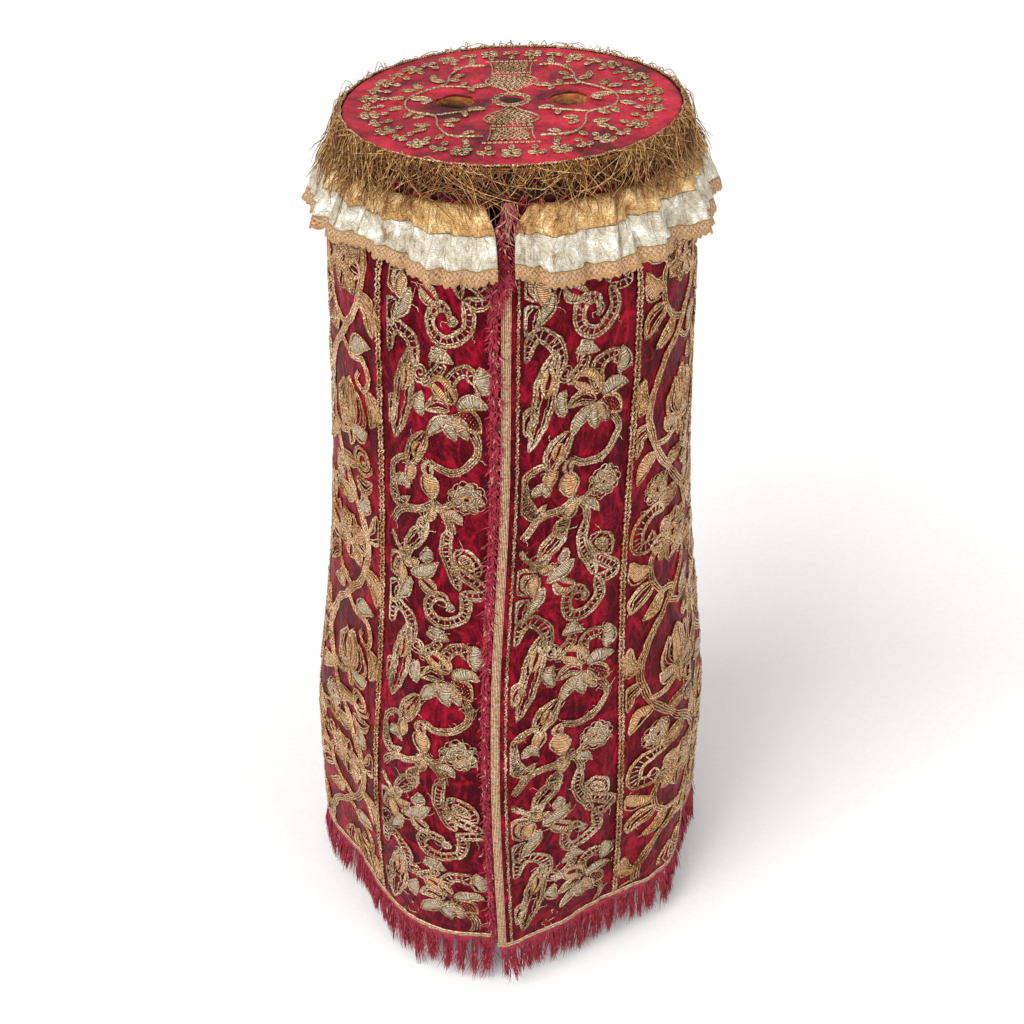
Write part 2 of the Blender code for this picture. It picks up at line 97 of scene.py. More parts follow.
# Angle, and how long the cloth hangs there as a share of its even length
FLOUNCE_HANG = [
    (1, 0.88), (6, 0.98), (16, 1.10), (26, 1.07), (36, 1.00), (52, 1.02), (72, 1.12), (95, 1.06),
    (180, 1.00), (262, 0.95), (282, 0.89), (299, 0.84), (323, 0.85), (335, 0.96), (343, 1.05),
    (350, 1.02), (356, 0.96),
]
# Angle, width in degrees, and how far it stands out at the free edge
FLOUNCE_PLEATS = [
    (14, 7, 0.0020), (25, 5, -0.0025), (38, 7, 0.0025), (52, 5, -0.0050), (66, 7, 0.0040),
    (84, 6, -0.0030), (100, 8, 0.0035), (122, 7, -0.0040), (142, 8, 0.0030), (164, 7, -0.0035),
    (186, 9, 0.0035), (208, 7, -0.0035), (228, 8, 0.0030), (250, 7, -0.0035), (270, 7, 0.0050),
    (287, 5, -0.0045), (301, 6, 0.0030), (318, 6, -0.0035), (336, 8, 0.0025),
]
FLOUNCE_SPLIT_LEFT = [
    (-0.0145, 352.1), (-0.0336, 355.5), (-0.0850, 356.8),
]
FLOUNCE_SPLIT_RIGHT = [
    (-0.0145, 4.7), (-0.0300, 1.2), (-0.0850, 1.0),
]
SKIRT_TOP = -0.004
HEM = -0.804
SKIRT_PROFILE = [
    (-0.004, 0.1420), (-0.020, 0.1440), (-0.045, 0.1485), (-0.070, 0.1535), (-0.100, 0.1585),
    (-0.160, 0.1618), (-0.260, 0.1665), (-0.370, 0.1740), (-0.440, 0.1815), (-0.500, 0.1895),
    (-0.560, 0.1985), (-0.625, 0.2060), (-0.700, 0.2095), (-0.804, 0.2110),
]
HEM_OUTLINE = [
    (0, 0.2065), (7, 0.2020), (13, 0.1975), (25, 0.1866), (37, 0.1878), (48, 0.1968), (56, 0.2030),
    (64, 0.2010), (76, 0.1930), (92, 0.2085), (106, 0.2130), (130, 0.2050), (155, 0.2120), (182, 0.2040),
    (208, 0.2110), (234, 0.2040), (256, 0.2095), (275, 0.2120), (299, 0.1890), (314, 0.1965),
    (325, 0.2041), (338, 0.2098), (352, 0.2055),
]
HEM_MEAN_RADIUS = 0.205
FLARE_START = -0.06
FLARE_POWER = 1.5
LAP = 0.011
LAP_SPREAD = 8.0
EDGES = dict(
    opening_right=[
        (-0.004, 4.0), (-0.030, -0.5), (-0.060, -3.2), (-0.100, -3.5), (-0.270, -3.9), (-0.490, -6.2),
        (-0.804, -4.0),
    ],
    front_right=[
        (-0.004, 40.5), (-0.170, 39.5), (-0.400, 36.0), (-0.600, 34.5), (-0.804, 35.5),
    ],
    back_right=[(-0.004, 118.0), (-0.804, 120.0)],
    back_left=[(-0.004, 242.0), (-0.804, 240.0)],
    front_left=[(-0.004, 317.5), (-0.804, 316.0)],
    opening_left=[
        (-0.004, 351.0), (-0.030, 354.0), (-0.060, 355.8), (-0.100, 356.3), (-0.270, 355.9),
        (-0.490, 353.6), (-0.804, 355.8),
    ],
)
# Name, left and right edge as seen from outside, and columns of its mesh
PANELS = [
    ("front_panel_right", "opening_right", "front_right", 26),
    ("side_panel_right", "front_right", "back_right", 46), ("back_panel", "back_right", "back_left", 68),
    ("side_panel_left", "back_left", "front_left", 42),
    ("front_panel_left", "front_left", "opening_left", 23),
]
HEM_HEADING_GAP = 0.0006
HEM_HEADING_HEIGHT = 0.004

# Flat sizes of the cloths: the flounce's length, the panels' height, and the radii at the hem and the neck
# between which a panel's width is the mean
FLOUNCE_LENGTH = 1.15
CUT_HEIGHT = 0.80
CUT_HEM_RADIUS = 0.2
CUT_NECK_RADIUS = 0.142

# Creases of the hung velvet that its solid leaves out: angle, how far it has moved by its foot,
# width, how far it stands out, top and bottom
FOLDS = [
    (9, -4, 2.2, -0.0016, -0.30, -0.62), (14, 3, 3.0, 0.0018, -0.45, -0.86),
    (22, 2, 2.4, -0.0016, -0.12, -0.46), (29, -3, 2.6, 0.0020, -0.34, -0.80),
    (33, -2, 1.8, -0.0018, -0.52, -0.88), (45, 3, 2.8, 0.0024, -0.50, -0.90),
    (58, -4, 2.4, -0.0022, -0.22, -0.70), (69, 3, 3.0, 0.0024, -0.40, -0.90),
    (84, 4, 3.0, -0.0024, -0.30, -0.88), (99, -3, 3.4, 0.0022, -0.20, -0.80),
    (112, 2, 3.0, -0.0022, -0.42, -0.90), (128, -3, 3.2, 0.0022, -0.28, -0.74),
    (143, 3, 3.0, -0.0024, -0.36, -0.90), (161, -2, 3.6, 0.0022, -0.22, -0.82),
    (176, 3, 3.0, -0.0020, -0.46, -0.90), (193, -3, 3.4, 0.0022, -0.30, -0.78),
    (216, 3, 3.2, -0.0024, -0.34, -0.90), (229, -2, 3.0, 0.0020, -0.24, -0.72),
    (249, 3, 3.2, -0.0022, -0.38, -0.90), (264, -3, 3.0, 0.0022, -0.26, -0.86),
    (284, 4, 2.8, -0.0020, -0.22, -0.66), (305, -3, 2.4, 0.0018, -0.48, -0.90),
    (321, 3, 2.2, -0.0016, -0.20, -0.58), (330, -3, 2.6, 0.0018, -0.42, -0.86),
    (341, 3, 2.4, -0.0018, -0.30, -0.74), (347, -2, 2.0, 0.0014, -0.50, -0.88),
]
PUCKER = 0.0005

# Sharp creases of the flounce: angle, how far it has moved by its foot, width, how far it stands out
FLOUNCE_CREASES = [
    (6, 2, 1.3, -0.0050), (12, -3, 1.8, 0.0045), (18, 3, 1.2, -0.0055), (29, -2, 1.6, 0.0050),
    (34, 2, 1.3, -0.0060), (44, -3, 1.8, 0.0055), (49, 2, 1.6, -0.0080), (60, 4, 1.6, 0.0050),
    (72, -3, 1.5, -0.0060), (90, 3, 2.0, 0.0050), (108, -3, 1.6, -0.0060), (130, 3, 2.0, 0.0050),
    (150, -2, 1.6, -0.0060), (172, 3, 1.8, 0.0050), (195, -3, 1.6, -0.0060), (218, 2, 1.8, 0.0050),
    (240, -2, 1.6, -0.0060), (262, 3, 1.8, 0.0050), (276, -2, 1.5, -0.0065), (292, 3, 1.8, 0.0055),
    (299, -2, 1.3, -0.0060), (308, 2, 1.4, 0.0045), (313, -3, 1.4, -0.0070), (323, -2, 1.6, 0.0050),
    (329, 2, 1.3, -0.0065), (337, 2, 1.5, 0.0045), (343, -2, 1.3, -0.0055), (350, 1, 1.5, 0.0040),
]

# Darker patches of the silk: x, y, the reach of its dark middle and of its edge, and how dark
SILK_DARK_PATCHES = [
    (-0.047, -0.008, 0.014, 0.036, 0.14), (0.047, -0.008, 0.014, 0.034, 0.12),
    (0.075, -0.105, 0.01, 0.055, 0.13), (-0.03, -0.118, 0.005, 0.05, 0.07), (-0.1, 0.0, 0.0, 0.05, 0.05),
]

# Length of the rim's wires, and what share of them there is, round the top by angle
RIM_LENGTHS = [
    (0, 0.027), (8, 0.030), (30, 0.033), (55, 0.036), (75, 0.042), (130, 0.038), (185, 0.040),
    (240, 0.042), (285, 0.046), (310, 0.041), (335, 0.034), (352, 0.030),
]
RIM_SHARES = [
    (0, 0.30), (8, 0.42), (30, 0.55), (55, 0.80), (75, 0.85), (130, 0.80), (185, 0.80), (240, 0.90),
    (285, 0.85), (310, 0.80), (335, 0.55), (352, 0.42),
]

# One repeat of the front panels' embroidery: form, the line of its middle, width, fill and metal.
# x runs 50 mm either side of the strip's middle, and y down from a rosette
FRONT_ROSETTES = (0.012, -0.268, -0.548)
FRONT_FORMS = [
    ("leaf", [(-8, 38), (-20, 50), (-34, 68)], 14, "net", 0),
    ("stem", [(-49, 54), (-44, 64), (-38, 70), (-33, 80)], 4, "", 0),
    ("leaf", [(-33, 80), (-25, 79), (-16, 74)], 8, "laid", 1),
    ("leaf", [(-24, 92), (-12, 84), (2, 71)], 11, "laid", 2),
    ("leaf", [(-16, 92), (-6, 100), (4, 106)], 14, "slit", 0),
    ("leaf", [(-35, 84), (-36, 94), (-34, 106)], 11, "laid", 1),
    ("leaf", [(-25, 96), (-31, 110), (-40, 125)], 9, "laid", 2),
    ("leaf", [(-34, 82), (-46, 80), (-49, 94), (-42, 102)], 9, "slit", 0),
    ("leaf", [(-34, 78), (-30, 68), (-22, 62)], 9, "net", 0),
    ("leaf", [(-40, 106), (-47, 118), (-44, 134)], 15, "net", 2),
    ("leaf", [(-14, 72), (-8, 66), (-9, 58)], 9, "laid", 2),
    ("leaf", [(18, 54), (29, 64), (42, 80)], 19, "ladder", 0),
    ("leaf", [(23, 59), (29, 65), (37, 74)], 9, "ladder", 1),
    ("band", [(13, 34), (9, 50), (11, 68), (20, 84), (24, 96)], 8, "ladder", 0),
    ("band", [(14, 74), (26, 80), (38, 88), (46, 98), (36, 101), (26, 97)], 8, "ladder", 0),
    ("band", [(14, 115), (11, 108), (3, 106), (-4, 113), (-5, 122), (2, 132), (15, 134), (27, 125),
        (30, 111), (25, 98)], 8, "ladder", 0),
    ("leaf", [(13, 112), (16, 118), (12, 121)], 6, "laid", 2),
    ("band", [(4, 140), (3, 149)], 10, "laid", 2),
    ("leaf", [(-6, 152), (4, 148), (15, 153)], 9, "laid", 2),
    ("band", [(5, 154), (2, 163), (-6, 170), (-12, 177)], 7, "ladder", 0),
    ("band", [(-48, 154), (-48, 141), (-38, 131), (-26, 138), (-21, 154), (-27, 168)], 10, "ladder", 0),
    ("leaf", [(-24, 146), (-30, 168), (-34, 196), (-44, 238)], 17, "net", 0),
    ("leaf", [(-29, 160), (-30, 174), (-33, 188)], 10, "slit", 1),
    ("leaf", [(-38, 196), (-48, 206), (-49, 222)], 12, "net", 0),
    ("leaf", [(-7, 172), (5, 178), (18, 191)], 15, "slit", 1),
    ("band", [(17, 190), (13, 174), (20, 161), (31, 160), (34, 170)], 9, "ladder", 0),
    ("leaf", [(40, 180), (42, 168), (39, 155)], 13, "laid", 2),
    ("leaf", [(20, 194), (32, 188), (46, 191)], 12, "laid", 2),
    ("leaf", [(20, 198), (29, 204), (40, 215)], 14, "beads", 1),
    ("leaf", [(17, 200), (21, 210), (28, 222)], 10, "laid", 0),
    ("leaf", [(15, 200), (13, 212), (16, 226)], 11, "laid", 2),
    ("leaf", [(13, 202), (3, 210), (-9, 226)], 11, "laid", 2),
    ("leaf", [(13, 197), (1, 192), (-11, 200)], 12, "net", 0),
    ("leaf", [(-15, 208), (-18, 196), (-14, 182)], 9, "laid", 2),
    ("spiral", [(-15, 167)], 15, "", 0),
    ("stem", [(32, 216), (38, 226), (36, 240), (26, 252), (8, 256), (-6, 249)], 6.5, "", 0),
    ("leaf", [(-10, 222), (-20, 238), (-29, 262)], 16, "net", 0),
    ("leaf", [(-16, 232), (-20, 240), (-22, 250)], 8, "slit", 1),
    ("leaf", [(-22, 256), (-26, 264), (-27, 276)], 10, "laid", 1),
    ("stem", [(-27, 252), (-38, 254), (-47, 262), (-49, 276)], 5, "", 0),
    ("leaf", [(-48, 266), (-49, 286), (-38, 300), (-27, 290)], 11, "net", 0),
    ("leaf", [(-42, 280), (-34, 274), (-26, 281)], 9, "laid", 2),
    ("leaf", [(-6, 249), (-9, 258), (-5, 266)], 8, "slit", 0),
    ("leaf", [(-6, 262), (-7, 274), (-4, 287)], 14, "laid", 1),
    ("rosette", [(28, 280)], 30, "laid", 2),
    ("stem", [(-4, 286), (-1, 293), (10, 292), (17, 287)], 5, "", 0),
    ("stem", [(-2, 290), (-16, 298), (-32, 304), (-48, 322)], 6.5, "", 0),
    ("stem", [(-2, 290), (8, 298), (13, 308), (14, 318)], 6.5, "", 0),
    ("leaf", [(-4, 292), (-5, 300), (-9, 309)], 8, "laid", 1),
    ("leaf", [(-9, 306), (-14, 318), (-10, 332)], 11, "net", 0),
    ("leaf", [(8, 298), (18, 300), (24, 308)], 7, "laid", 2),
]

# One repeat of the sides' and back's embroidery, a vine that swings across its column
SIDE_REPEAT = 280.0
SIDE_FORMS = [
    ("stem", [(0, 0), (20, 26), (35, 60), (26, 102), (0, 136), (-26, 166), (-37, 204), (-22, 248),
        (0, 280)], 6.5, "", 1),
    ("stem", [(8, 128), (-14, 118), (-26, 94), (-20, 70), (-6, 62)], 5, "", 1),
    ("bloom", [(4, 68)], 46, "couched", 3),
    ("leaf", [(30, 92), (44, 98), (49, 122)], 17, "couched", 3),
    ("leaf", [(34, 52), (47, 42), (46, 20)], 17, "net", 1),
    ("leaf", [(22, 30), (32, 18), (28, 2)], 12, "laid", 2),
    ("leaf", [(12, 16), (-2, 22), (-20, 18)], 15, "couched", 3),
    ("band", [(-8, 28), (-28, 26), (-43, 40), (-40, 58), (-27, 58), (-26, 46)], 11, "ladder", 1),
    ("leaf", [(-25, 90), (-40, 86), (-49, 70)], 14, "laid", 1),
    ("leaf", [(-22, 104), (-36, 110), (-47, 128)], 15, "net", 0),
    ("leaf", [(-12, 118), (-18, 132), (-34, 142)], 12, "couched", 3),
    ("stem", [(-2, 138), (14, 150), (32, 150), (42, 164), (34, 178), (22, 172), (26, 162)], 5, "", 1),
    ("leaf", [(16, 148), (28, 136), (44, 134)], 13, "laid", 2),
    ("leaf", [(40, 176), (48, 192), (42, 212)], 15, "couched", 3),
    ("stem", [(-30, 234), (-10, 238), (4, 232), (8, 222)], 5, "", 1),
    ("leaf", [(8, 226), (-4, 206), (-2, 182)], 19, "net", 1),
    ("leaf", [(9, 226), (10, 204), (9, 176)], 20, "couched", 3),
    ("leaf", [(10, 226), (24, 208), (22, 186)], 19, "net", 1),
    ("leaf", [(9, 224), (24, 226), (36, 218)], 13, "laid", 2),
    ("leaf", [(7, 226), (-6, 226), (-16, 216)], 12, "laid", 0),
    ("leaf", [(8, 224), (9, 236), (8, 246)], 12, "slit", 1),
    ("leaf", [(-36, 196), (-49, 186), (-48, 164)], 16, "couched", 3),
    ("leaf", [(-35, 212), (-49, 220), (-49, 240)], 14, "net", 0),
    ("leaf", [(-24, 246), (-38, 252), (-46, 268)], 13, "laid", 1),
    ("spiral", [(28, 252)], 26, "", 1),
    ("leaf", [(-10, 264), (8, 262), (18, 258)], 12, "couched", 3),
    ("rosette", [(-22, 284)], 26, "laid", 2),
    ("leaf", [(16, 274), (30, 278), (44, 270)], 13, "net", 1),
]

# The right half of the vine that circles a hole on the top, as above, and its leaves: x, y towards the front,
# the way that each points and its length
TOP_VINE = [
    ("stem", [(22, -86), (38, -86), (52, -66), (56, -40), (74, -24), (87, -4), (82, 22), (62, 34),
        (58, 58), (48, 78), (22, 82)], 3.4, "", 3),
    ("stem", [(60, -36), (44, -34), (30, -30)], 2.6, "", 3),
    ("stem", [(64, 33), (46, 28), (32, 24)], 2.6, "", 3),
]
TOP_LEAVES = [
    (27, -33, 190, 12), (34, -26, 120, 8), (40, -40, 250, 8), (29, 21, 175, 12), (38, 32, 100, 8),
    (42, 20, 260, 8), (50, -50, 160, 10), (45, -60, 220, 9), (62, -50, 330, 12), (66, -58, 280, 10),
    (47, -80, 300, 8), (78, -36, 300, 12), (86, -28, 350, 11), (94, -10, 10, 13), (76, -6, 170, 15),
    (70, 2, 215, 9), (94, 14, 30, 12), (84, 30, 70, 11), (74, 34, 40, 10), (48, 46, 190, 11),
    (50, 56, 150, 9), (70, 54, 350, 12), (72, 64, 40, 11), (56, 80, 60, 9), (34, 74, 200, 9),
    (36, 92, 100, 9), (34, -94, 250, 9),
]


def srgb(code):
    """A hex colour as linear red, green and blue."""
    values = [int(code[k : k + 2], 16) / 255 for k in (1, 3, 5)]
    return tuple(v / 12.92 if v <= 0.04045 else ((v + 0.055) / 1.055) ** 2.4 for v in values)


def colour_setting(label, code, description):
    """A colour that the user can change."""
    return bpy.props.FloatVectorProperty(
        name=label, description=description, default=srgb(code), size=3, min=0.0, max=1.0, subtype="COLOR"
    )


def length_setting(label, metres, description):
    """A length that the user can change."""
    return bpy.props.FloatProperty(
        name=label, description=description, default=metres, min=0.0, max=0.1, unit="LENGTH", precision=4
    )


class MANTLE_PG_colours(bpy.types.PropertyGroup):
    """The colours of the mantle's threads and cloths."""

    velvet: colour_setting("Velvet", "#6C0618", "Pile of the crushed velvet")
    # The velvet's two other colours are painted shade and painted sheen of the pile
    velvet_painted_shade: colour_setting("Velvet shade", "#46000C", "Pile seen from above its lie")
    velvet_painted_sheen: colour_setting("Velvet light", "#A80C2C", "Pile crushed flat, which gleams")
    silk: colour_setting("Silk", "#A8122A", "Silk over the round top")
    silver_gilt: colour_setting("Silver gilt thread", "#9E7248", "Worn thread of the front panels")
    yellow_gilt: colour_setting("Yellow gilt thread", "#BA803C", "Yellower thread of the sides and back")
    wire: colour_setting("Rim wire", "#A0662E", "Tarnished gilt wire of the rim's fringe")
    gold_cloth: colour_setting("Cloth of gold", "#BE9256", "Upper band of the flounce")
    silver_cloth: colour_setting("Cloth of silver", "#C4BBA6", "Lower band of the flounce")
    lace: colour_setting("Lace", "#9C7046", "Lace edging of the flounce")
    floss: colour_setting("Silk floss", "#A01430", "Fringe at the hem and tufts at the opening")


class MANTLE_PG_sizes(bpy.types.PropertyGroup):
    """The sizes of the mantle's threads and cloths."""

    velvet_thickness: length_setting("Velvet thickness", 0.0018, "Velvet with its backing")
    silk_thickness: length_setting("Silk thickness", 0.0010, "Silk over the board")
    wire_thickness: length_setting("Rim wire thickness", 0.0006, "Wire of the rim's fringe")
    floss_thickness: length_setting("Floss thickness", 0.0008, "Strand of the hem's fringe")
    rim_wires: bpy.props.IntProperty(
        name="Rim wires", description="Number of wires in the rim's fringe", default=1400, min=100, max=3000
    )
    hem_locks: bpy.props.IntProperty(
        name="Hem locks", description="Number of locks in the hem's fringe", default=150, min=20, max=400
    )


def smooth(rows, at):
    """Reads a table of places and values on a smooth curve through its rows, for one place or many."""
    points = np.array(sorted(rows), float)
    x, y = points[:, 0], points[:, 1]
    at = np.clip(at, x[0], x[-1])
    slope = np.gradient(y)
    slope[1:-1] = (y[2:] - y[:-2]) / (x[2:] - x[:-2])
    slope[0] = (y[1] - y[0]) / (x[1] - x[0])
    slope[-1] = (y[-1] - y[-2]) / (x[-1] - x[-2])
    i = np.clip(np.searchsorted(x, at, side="right") - 1, 0, len(x) - 2)
    step = x[i + 1] - x[i]
    t = (at - x[i]) / step
    return (
        y[i] * (1 + 2 * t) * (1 - t) ** 2
        + slope[i] * step * t * (1 - t) ** 2
        + y[i + 1] * t * t * (3 - 2 * t)
        + slope[i + 1] * step * t * t * (t - 1)
    )


def round_table(rows, angle):
    """Reads a table whose angles run once round."""
    turns = [(place + turn, value) for turn in (-360, 0, 360) for place, value in rows]
    return smooth(turns, np.asarray(angle) % 360)


def polar(angle, radius, z):
    """Points by their angle from the front, their distance from the axis and their height."""
    turn = np.radians(angle)
    return np.stack(np.broadcast_arrays(radius * np.sin(turn), -radius * np.cos(turn), z), -1)


def hang(points):
    """Lets points of the cloth down straight from the tilted top."""
    points[..., 2] += TILT * points[..., 0]
    return points


def tilted(points):
    """Turns points of the level top to where the tilted top has them."""
    along, up = math.cos(math.atan(TILT)), math.sin(math.atan(TILT))
    x, y, z = points[..., 0], points[..., 1], points[..., 2]
    return np.stack((x * along - z * up, y, x * up + z * along), -1)


def skirt_radius(angle, z):
    """The skirt's outer surface: round at the neck, and nearer the hem's outline the lower it gets."""
    side = smooth(SKIRT_PROFILE, z)
    hem = round_table(HEM_OUTLINE, angle) / SKIRT_PROFILE[-1][1]
    share = np.clip((FLARE_START - z) / (FLARE_START - HEM), 0, None) ** FLARE_POWER
    edge = edge_angle("opening_right", z)
    lap = LAP * share * np.exp(-(((angle - edge) / LAP_SPREAD) ** 2))
    return side * (1 + share * (hem - 1)) + lap


def folds(angle, z):
    """How far the velvet's creases and puckers stand out from its solid."""
    out = 0.0
    for middle, lean, width, depth, top, bottom in FOLDS:
        down = np.clip((top - z) / (top - bottom), 0, 1)
        apart = (angle - middle - lean * down + 180) % 360 - 180
        out = out + depth * np.sin(math.pi * down) ** 0.7 * np.exp(-((apart / width) ** 2))
    turn = np.radians(angle)
    wave = np.sin(turn * 61 + 2.2 * np.sin(z * 55)) * np.sin(z * 150 + 2 * np.sin(turn * 23))
    fine = np.sin(turn * 143 - z * 210) * np.sin(z * 310 + turn * 31)
    return out + PUCKER * wave + 0.5 * PUCKER * fine


def on_skirt(angle, z, out=0.0):
    """Points of the hung velvet, or proud of it."""
    return hang(polar(angle, skirt_radius(angle, z) + folds(angle, z) + out, z))


def edge_angle(edge, z):
    """Where an edge of a panel lies at a height."""
    return smooth(EDGES[edge], z)


def flounce_depth(z):
    """The share of the way down the flounce, from its gathered top to its free edge."""
    return np.clip((FLOUNCE_TOP - z) / (FLOUNCE_TOP - FLOUNCE_BOTTOM), 0, 1)


def flounce_radius(angle, z):
    """The flounce's inner surface, with pleats that deepen from the gathered top to the free edge."""
    depth = flounce_depth(z)
    radius = smooth(FLOUNCE_PROFILE, z)
    for middle, width, out in FLOUNCE_PLEATS:
        radius = radius + out * depth * np.exp(-(((angle - middle) / width) ** 2))
    return radius


def flounce_gathers(angle, z):
    """Fine gathers at the sewn edge and slack creases of the stiff cloth below, proud of the pleats."""
    depth = flounce_depth(z)
    turn = np.radians(angle)
    gather = np.abs(np.sin(turn * 43 + 1.9 * np.sin(turn * 9))) - 0.5
    slack = np.abs(np.sin(turn * 11 + 1.7 * np.sin(turn * 5) + depth * 0.9)) ** 0.8 - 0.5
    ruck = np.abs(np.sin(turn * 29 + 2.3 * np.sin(turn * 7 + 1) - depth * 1.4)) - 0.5
    crease = 0.0
    for middle, lean, width, out in FLOUNCE_CREASES:
        apart = (angle - middle - lean * depth + 180) % 360 - 180
        crease = crease + out * np.exp(-((apart / width) ** 2)) * np.clip(depth * 2.5 + 0.15, 0, 1)
    cross = np.sin(turn * 83 + 5 * depth) * np.sin(depth * 17 + 3 * np.sin(turn * 31))
    sewn = 0.0030 * (1 - depth) ** 1.2 * gather
    return sewn + 0.0064 * depth * slack + 0.0014 * depth**0.6 * ruck + 0.0006 * cross + crease


def flounce_height(angle, z):
    """Where a height of the even flounce lies once its hang at that angle is counted."""
    return FLOUNCE_TOP + (z - FLOUNCE_TOP) * round_table(FLOUNCE_HANG, angle)


def rim_surface(angle, z):
    """The outer surface that the rim's wires fall over: the neck band, then the flounce."""
    even = FLOUNCE_TOP + (z - FLOUNCE_TOP) / round_table(FLOUNCE_HANG, angle)
    cloth = flounce_radius(angle % 360, even) + FLOUNCE_CLOTH + 0.001
    neck = NECK_INNER + 0.0022 + 0.0045 * np.clip((NECK_TOP - z) / (NECK_TOP - FLOUNCE_TOP), 0, 1)
    return np.where(z > FLOUNCE_TOP, neck, cloth)


def add_node(made, kind, sockets, stops=None, **settings):
    """Adds a node to a material. sockets holds its values and the outputs that are linked to it."""
    item = made.node_tree.nodes.new("ShaderNode" + kind)
    for name, value in settings.items():
        setattr(item, name, value)
    for name, value in sockets.items():
        if isinstance(value, bpy.types.NodeSocket):
            made.node_tree.links.new(value, item.inputs[name])
        else:
            item.inputs[name].default_value = value
    if stops:
        ramp = item.color_ramp.elements
        ramp[0].position, ramp[1].position = stops[0][0], stops[-1][0]
        for place, _ in stops[1:-1]:
            ramp.new(place)
        for element, (_, colour) in zip(ramp, stops):
            element.color = (*colour, 1.0)
    return item


def finish(name, **constants):
    """A new material and its shader, with what is the same all over set on the shader's own sockets."""
    made = bpy.data.materials.new(name)
    made.use_nodes = True
    shader = made.node_tree.nodes["Principled BSDF"]
    for socket, value in constants.items():
        shader.inputs[socket.replace("_", " ")].default_value = value
    return made, shader


def per(millimetres):
    """A texture's scale from the size of its grain."""
    return 1000.0 / millimetres


def mixed(colour, other, share):
    """A colour part of the way to another."""
    return tuple(a * (1 - share) + b * share for a, b in zip(colour, other))


def connect(made, shader, colour, height=None, distance=0.0003, strength=1.0, roughness=None):
    """Links a finish's colour, relief and roughness to its shader."""
    made.node_tree.links.new(colour, shader.inputs["Base Color"])
    if height is not None:
        bump = add_node(made, "Bump", {"Height": height, "Distance": distance, "Strength": strength})
        made.node_tree.links.new(bump.outputs["Normal"], shader.inputs["Normal"])
    if roughness is not None:
        made.node_tree.links.new(roughness, shader.inputs["Roughness"])


def crease_lines(made, place, size, sharpness, distortion=1.4):
    """Thin wandering ridges, as in crushed pile or crumpled cloth: where a soft noise crosses its middle."""
    sockets = {"Vector": place, "Scale": size, "Detail": 2.0, "Roughness": 0.5, "Distortion": distortion}
    soft = add_node(made, "TexNoise", sockets)
    off = add_node(made, "Math", {0: soft.outputs["Fac"], 1: 0.5}, operation="SUBTRACT")
    away = add_node(made, "Math", {0: off.outputs[0]}, operation="ABSOLUTE")
    sockets = {0: away.outputs[0], 1: -sharpness, 2: 1.0}
    return add_node(made, "Math", sockets, operation="MULTIPLY_ADD", use_clamp=True).outputs[0]


def summed(made, *parts):
    """The sum of several outputs, each with its weight."""
    total = None
    for output, weight in parts:
        sockets = {0: output, 1: weight, 2: total if total is not None else 0.0}
        total = add_node(made, "Math", sockets, operation="MULTIPLY_ADD").outputs[0]
    return total


def crushed_velvet(colours):
    """Silk velvet: deep crimson, with painted shade in patches and painted highlights where the crushed pile
    lies over.
    """
    made, shader = finish(
        "crushed_silk_velvet", Roughness=0.45, Sheen_Weight=0.0, Sheen_Roughness=0.4,
        Sheen_Tint=(*srgb("#FF3058"), 1.0), Specular_IOR_Level=0.06,
    )
    place = add_node(made, "TexCoord", {}).outputs["Object"]
    long = add_node(made, "Mapping", {"Vector": place, "Scale": (1, 1, 0.5)}).outputs["Vector"]
    # Patches of pile that lie one way, some centimetres long, painted darker or lighter as shade and sheen of
    # the pile
    sockets = {"Vector": long, "Scale": per(22), "Detail": 5.0, "Roughness": 0.62, "Distortion": 0.8}
    patch = add_node(made, "TexNoise", sockets).outputs["Fac"]
    # Crush marks, narrow ridges a few millimetres across, painted as gleaming highlights
    wide, narrow = crease_lines(made, long, per(34), 16.0), crease_lines(made, long, per(15), 9.0)
    # Pile grain, drawn coarser than the real pile so that it shows
    grain = add_node(made, "TexNoise", {"Vector": place, "Scale": per(1.5), "Detail": 2.0}).outputs["Fac"]
    tone = summed(made, (patch, 0.55), (wide, 0.15), (narrow, 0.11), (grain, 0.34))
    # From painted shade of the pile, through its colour, to painted highlights
    ramp = add_node(
        made, "ValToRGB", {"Fac": tone},
        stops=[
            (0.38, mixed(colours.velvet_painted_shade, (0, 0, 0), 0.3)),
            (0.47, colours.velvet_painted_shade),
            (0.57, colours.velvet),
            (0.80, colours.velvet_painted_sheen),
        ],
    )
    relief = summed(made, (patch, 0.6), (wide, 0.5), (narrow, 0.3), (grain, 0.15))
    connect(made, shader, ramp.outputs["Color"], relief, distance=0.0014, strength=0.7)
    return made


def metal_thread(name, colour, shine=0.5):
    """Gilt thread wound on silk: worn metal with painted glints on each turn, and dark brown between them, both
    painted shade and tarnish.
    """
    made, shader = finish(name, Metallic=shine, Roughness=0.42)
    place = add_node(made, "TexCoord", {}).outputs["Object"]
    # Turns of the thread, drawn as grain of 1.5 mm so that they show
    turns = add_node(made, "TexNoise", {"Vector": place, "Scale": per(1.5), "Detail": 2.0, "Roughness": 0.7})
    # Tarnish in patches of some centimetres
    tarnish = add_node(made, "TexNoise", {"Vector": place, "Scale": per(30), "Detail": 3.0})
    both = summed(made, (turns.outputs["Fac"], 1.0), (tarnish.outputs["Fac"], 0.35))
    # Darkest stop: painted shade between the turns, with tarnish; lightest stop: a painted glint
    ramp = add_node(
        made, "ValToRGB", {"Fac": both},
        stops=[
            (0.53, mixed(colour, srgb("#2E1608"), 0.75)),
            (0.63, mixed(colour, srgb("#5A4020"), 0.4)),
            (0.70, colour),
            (0.79, mixed(colour, srgb("#FFEACC"), 0.8)),
        ],
    )
    connect(made, shader, ramp.outputs["Color"], turns.outputs["Fac"], distance=0.0006)
    return made


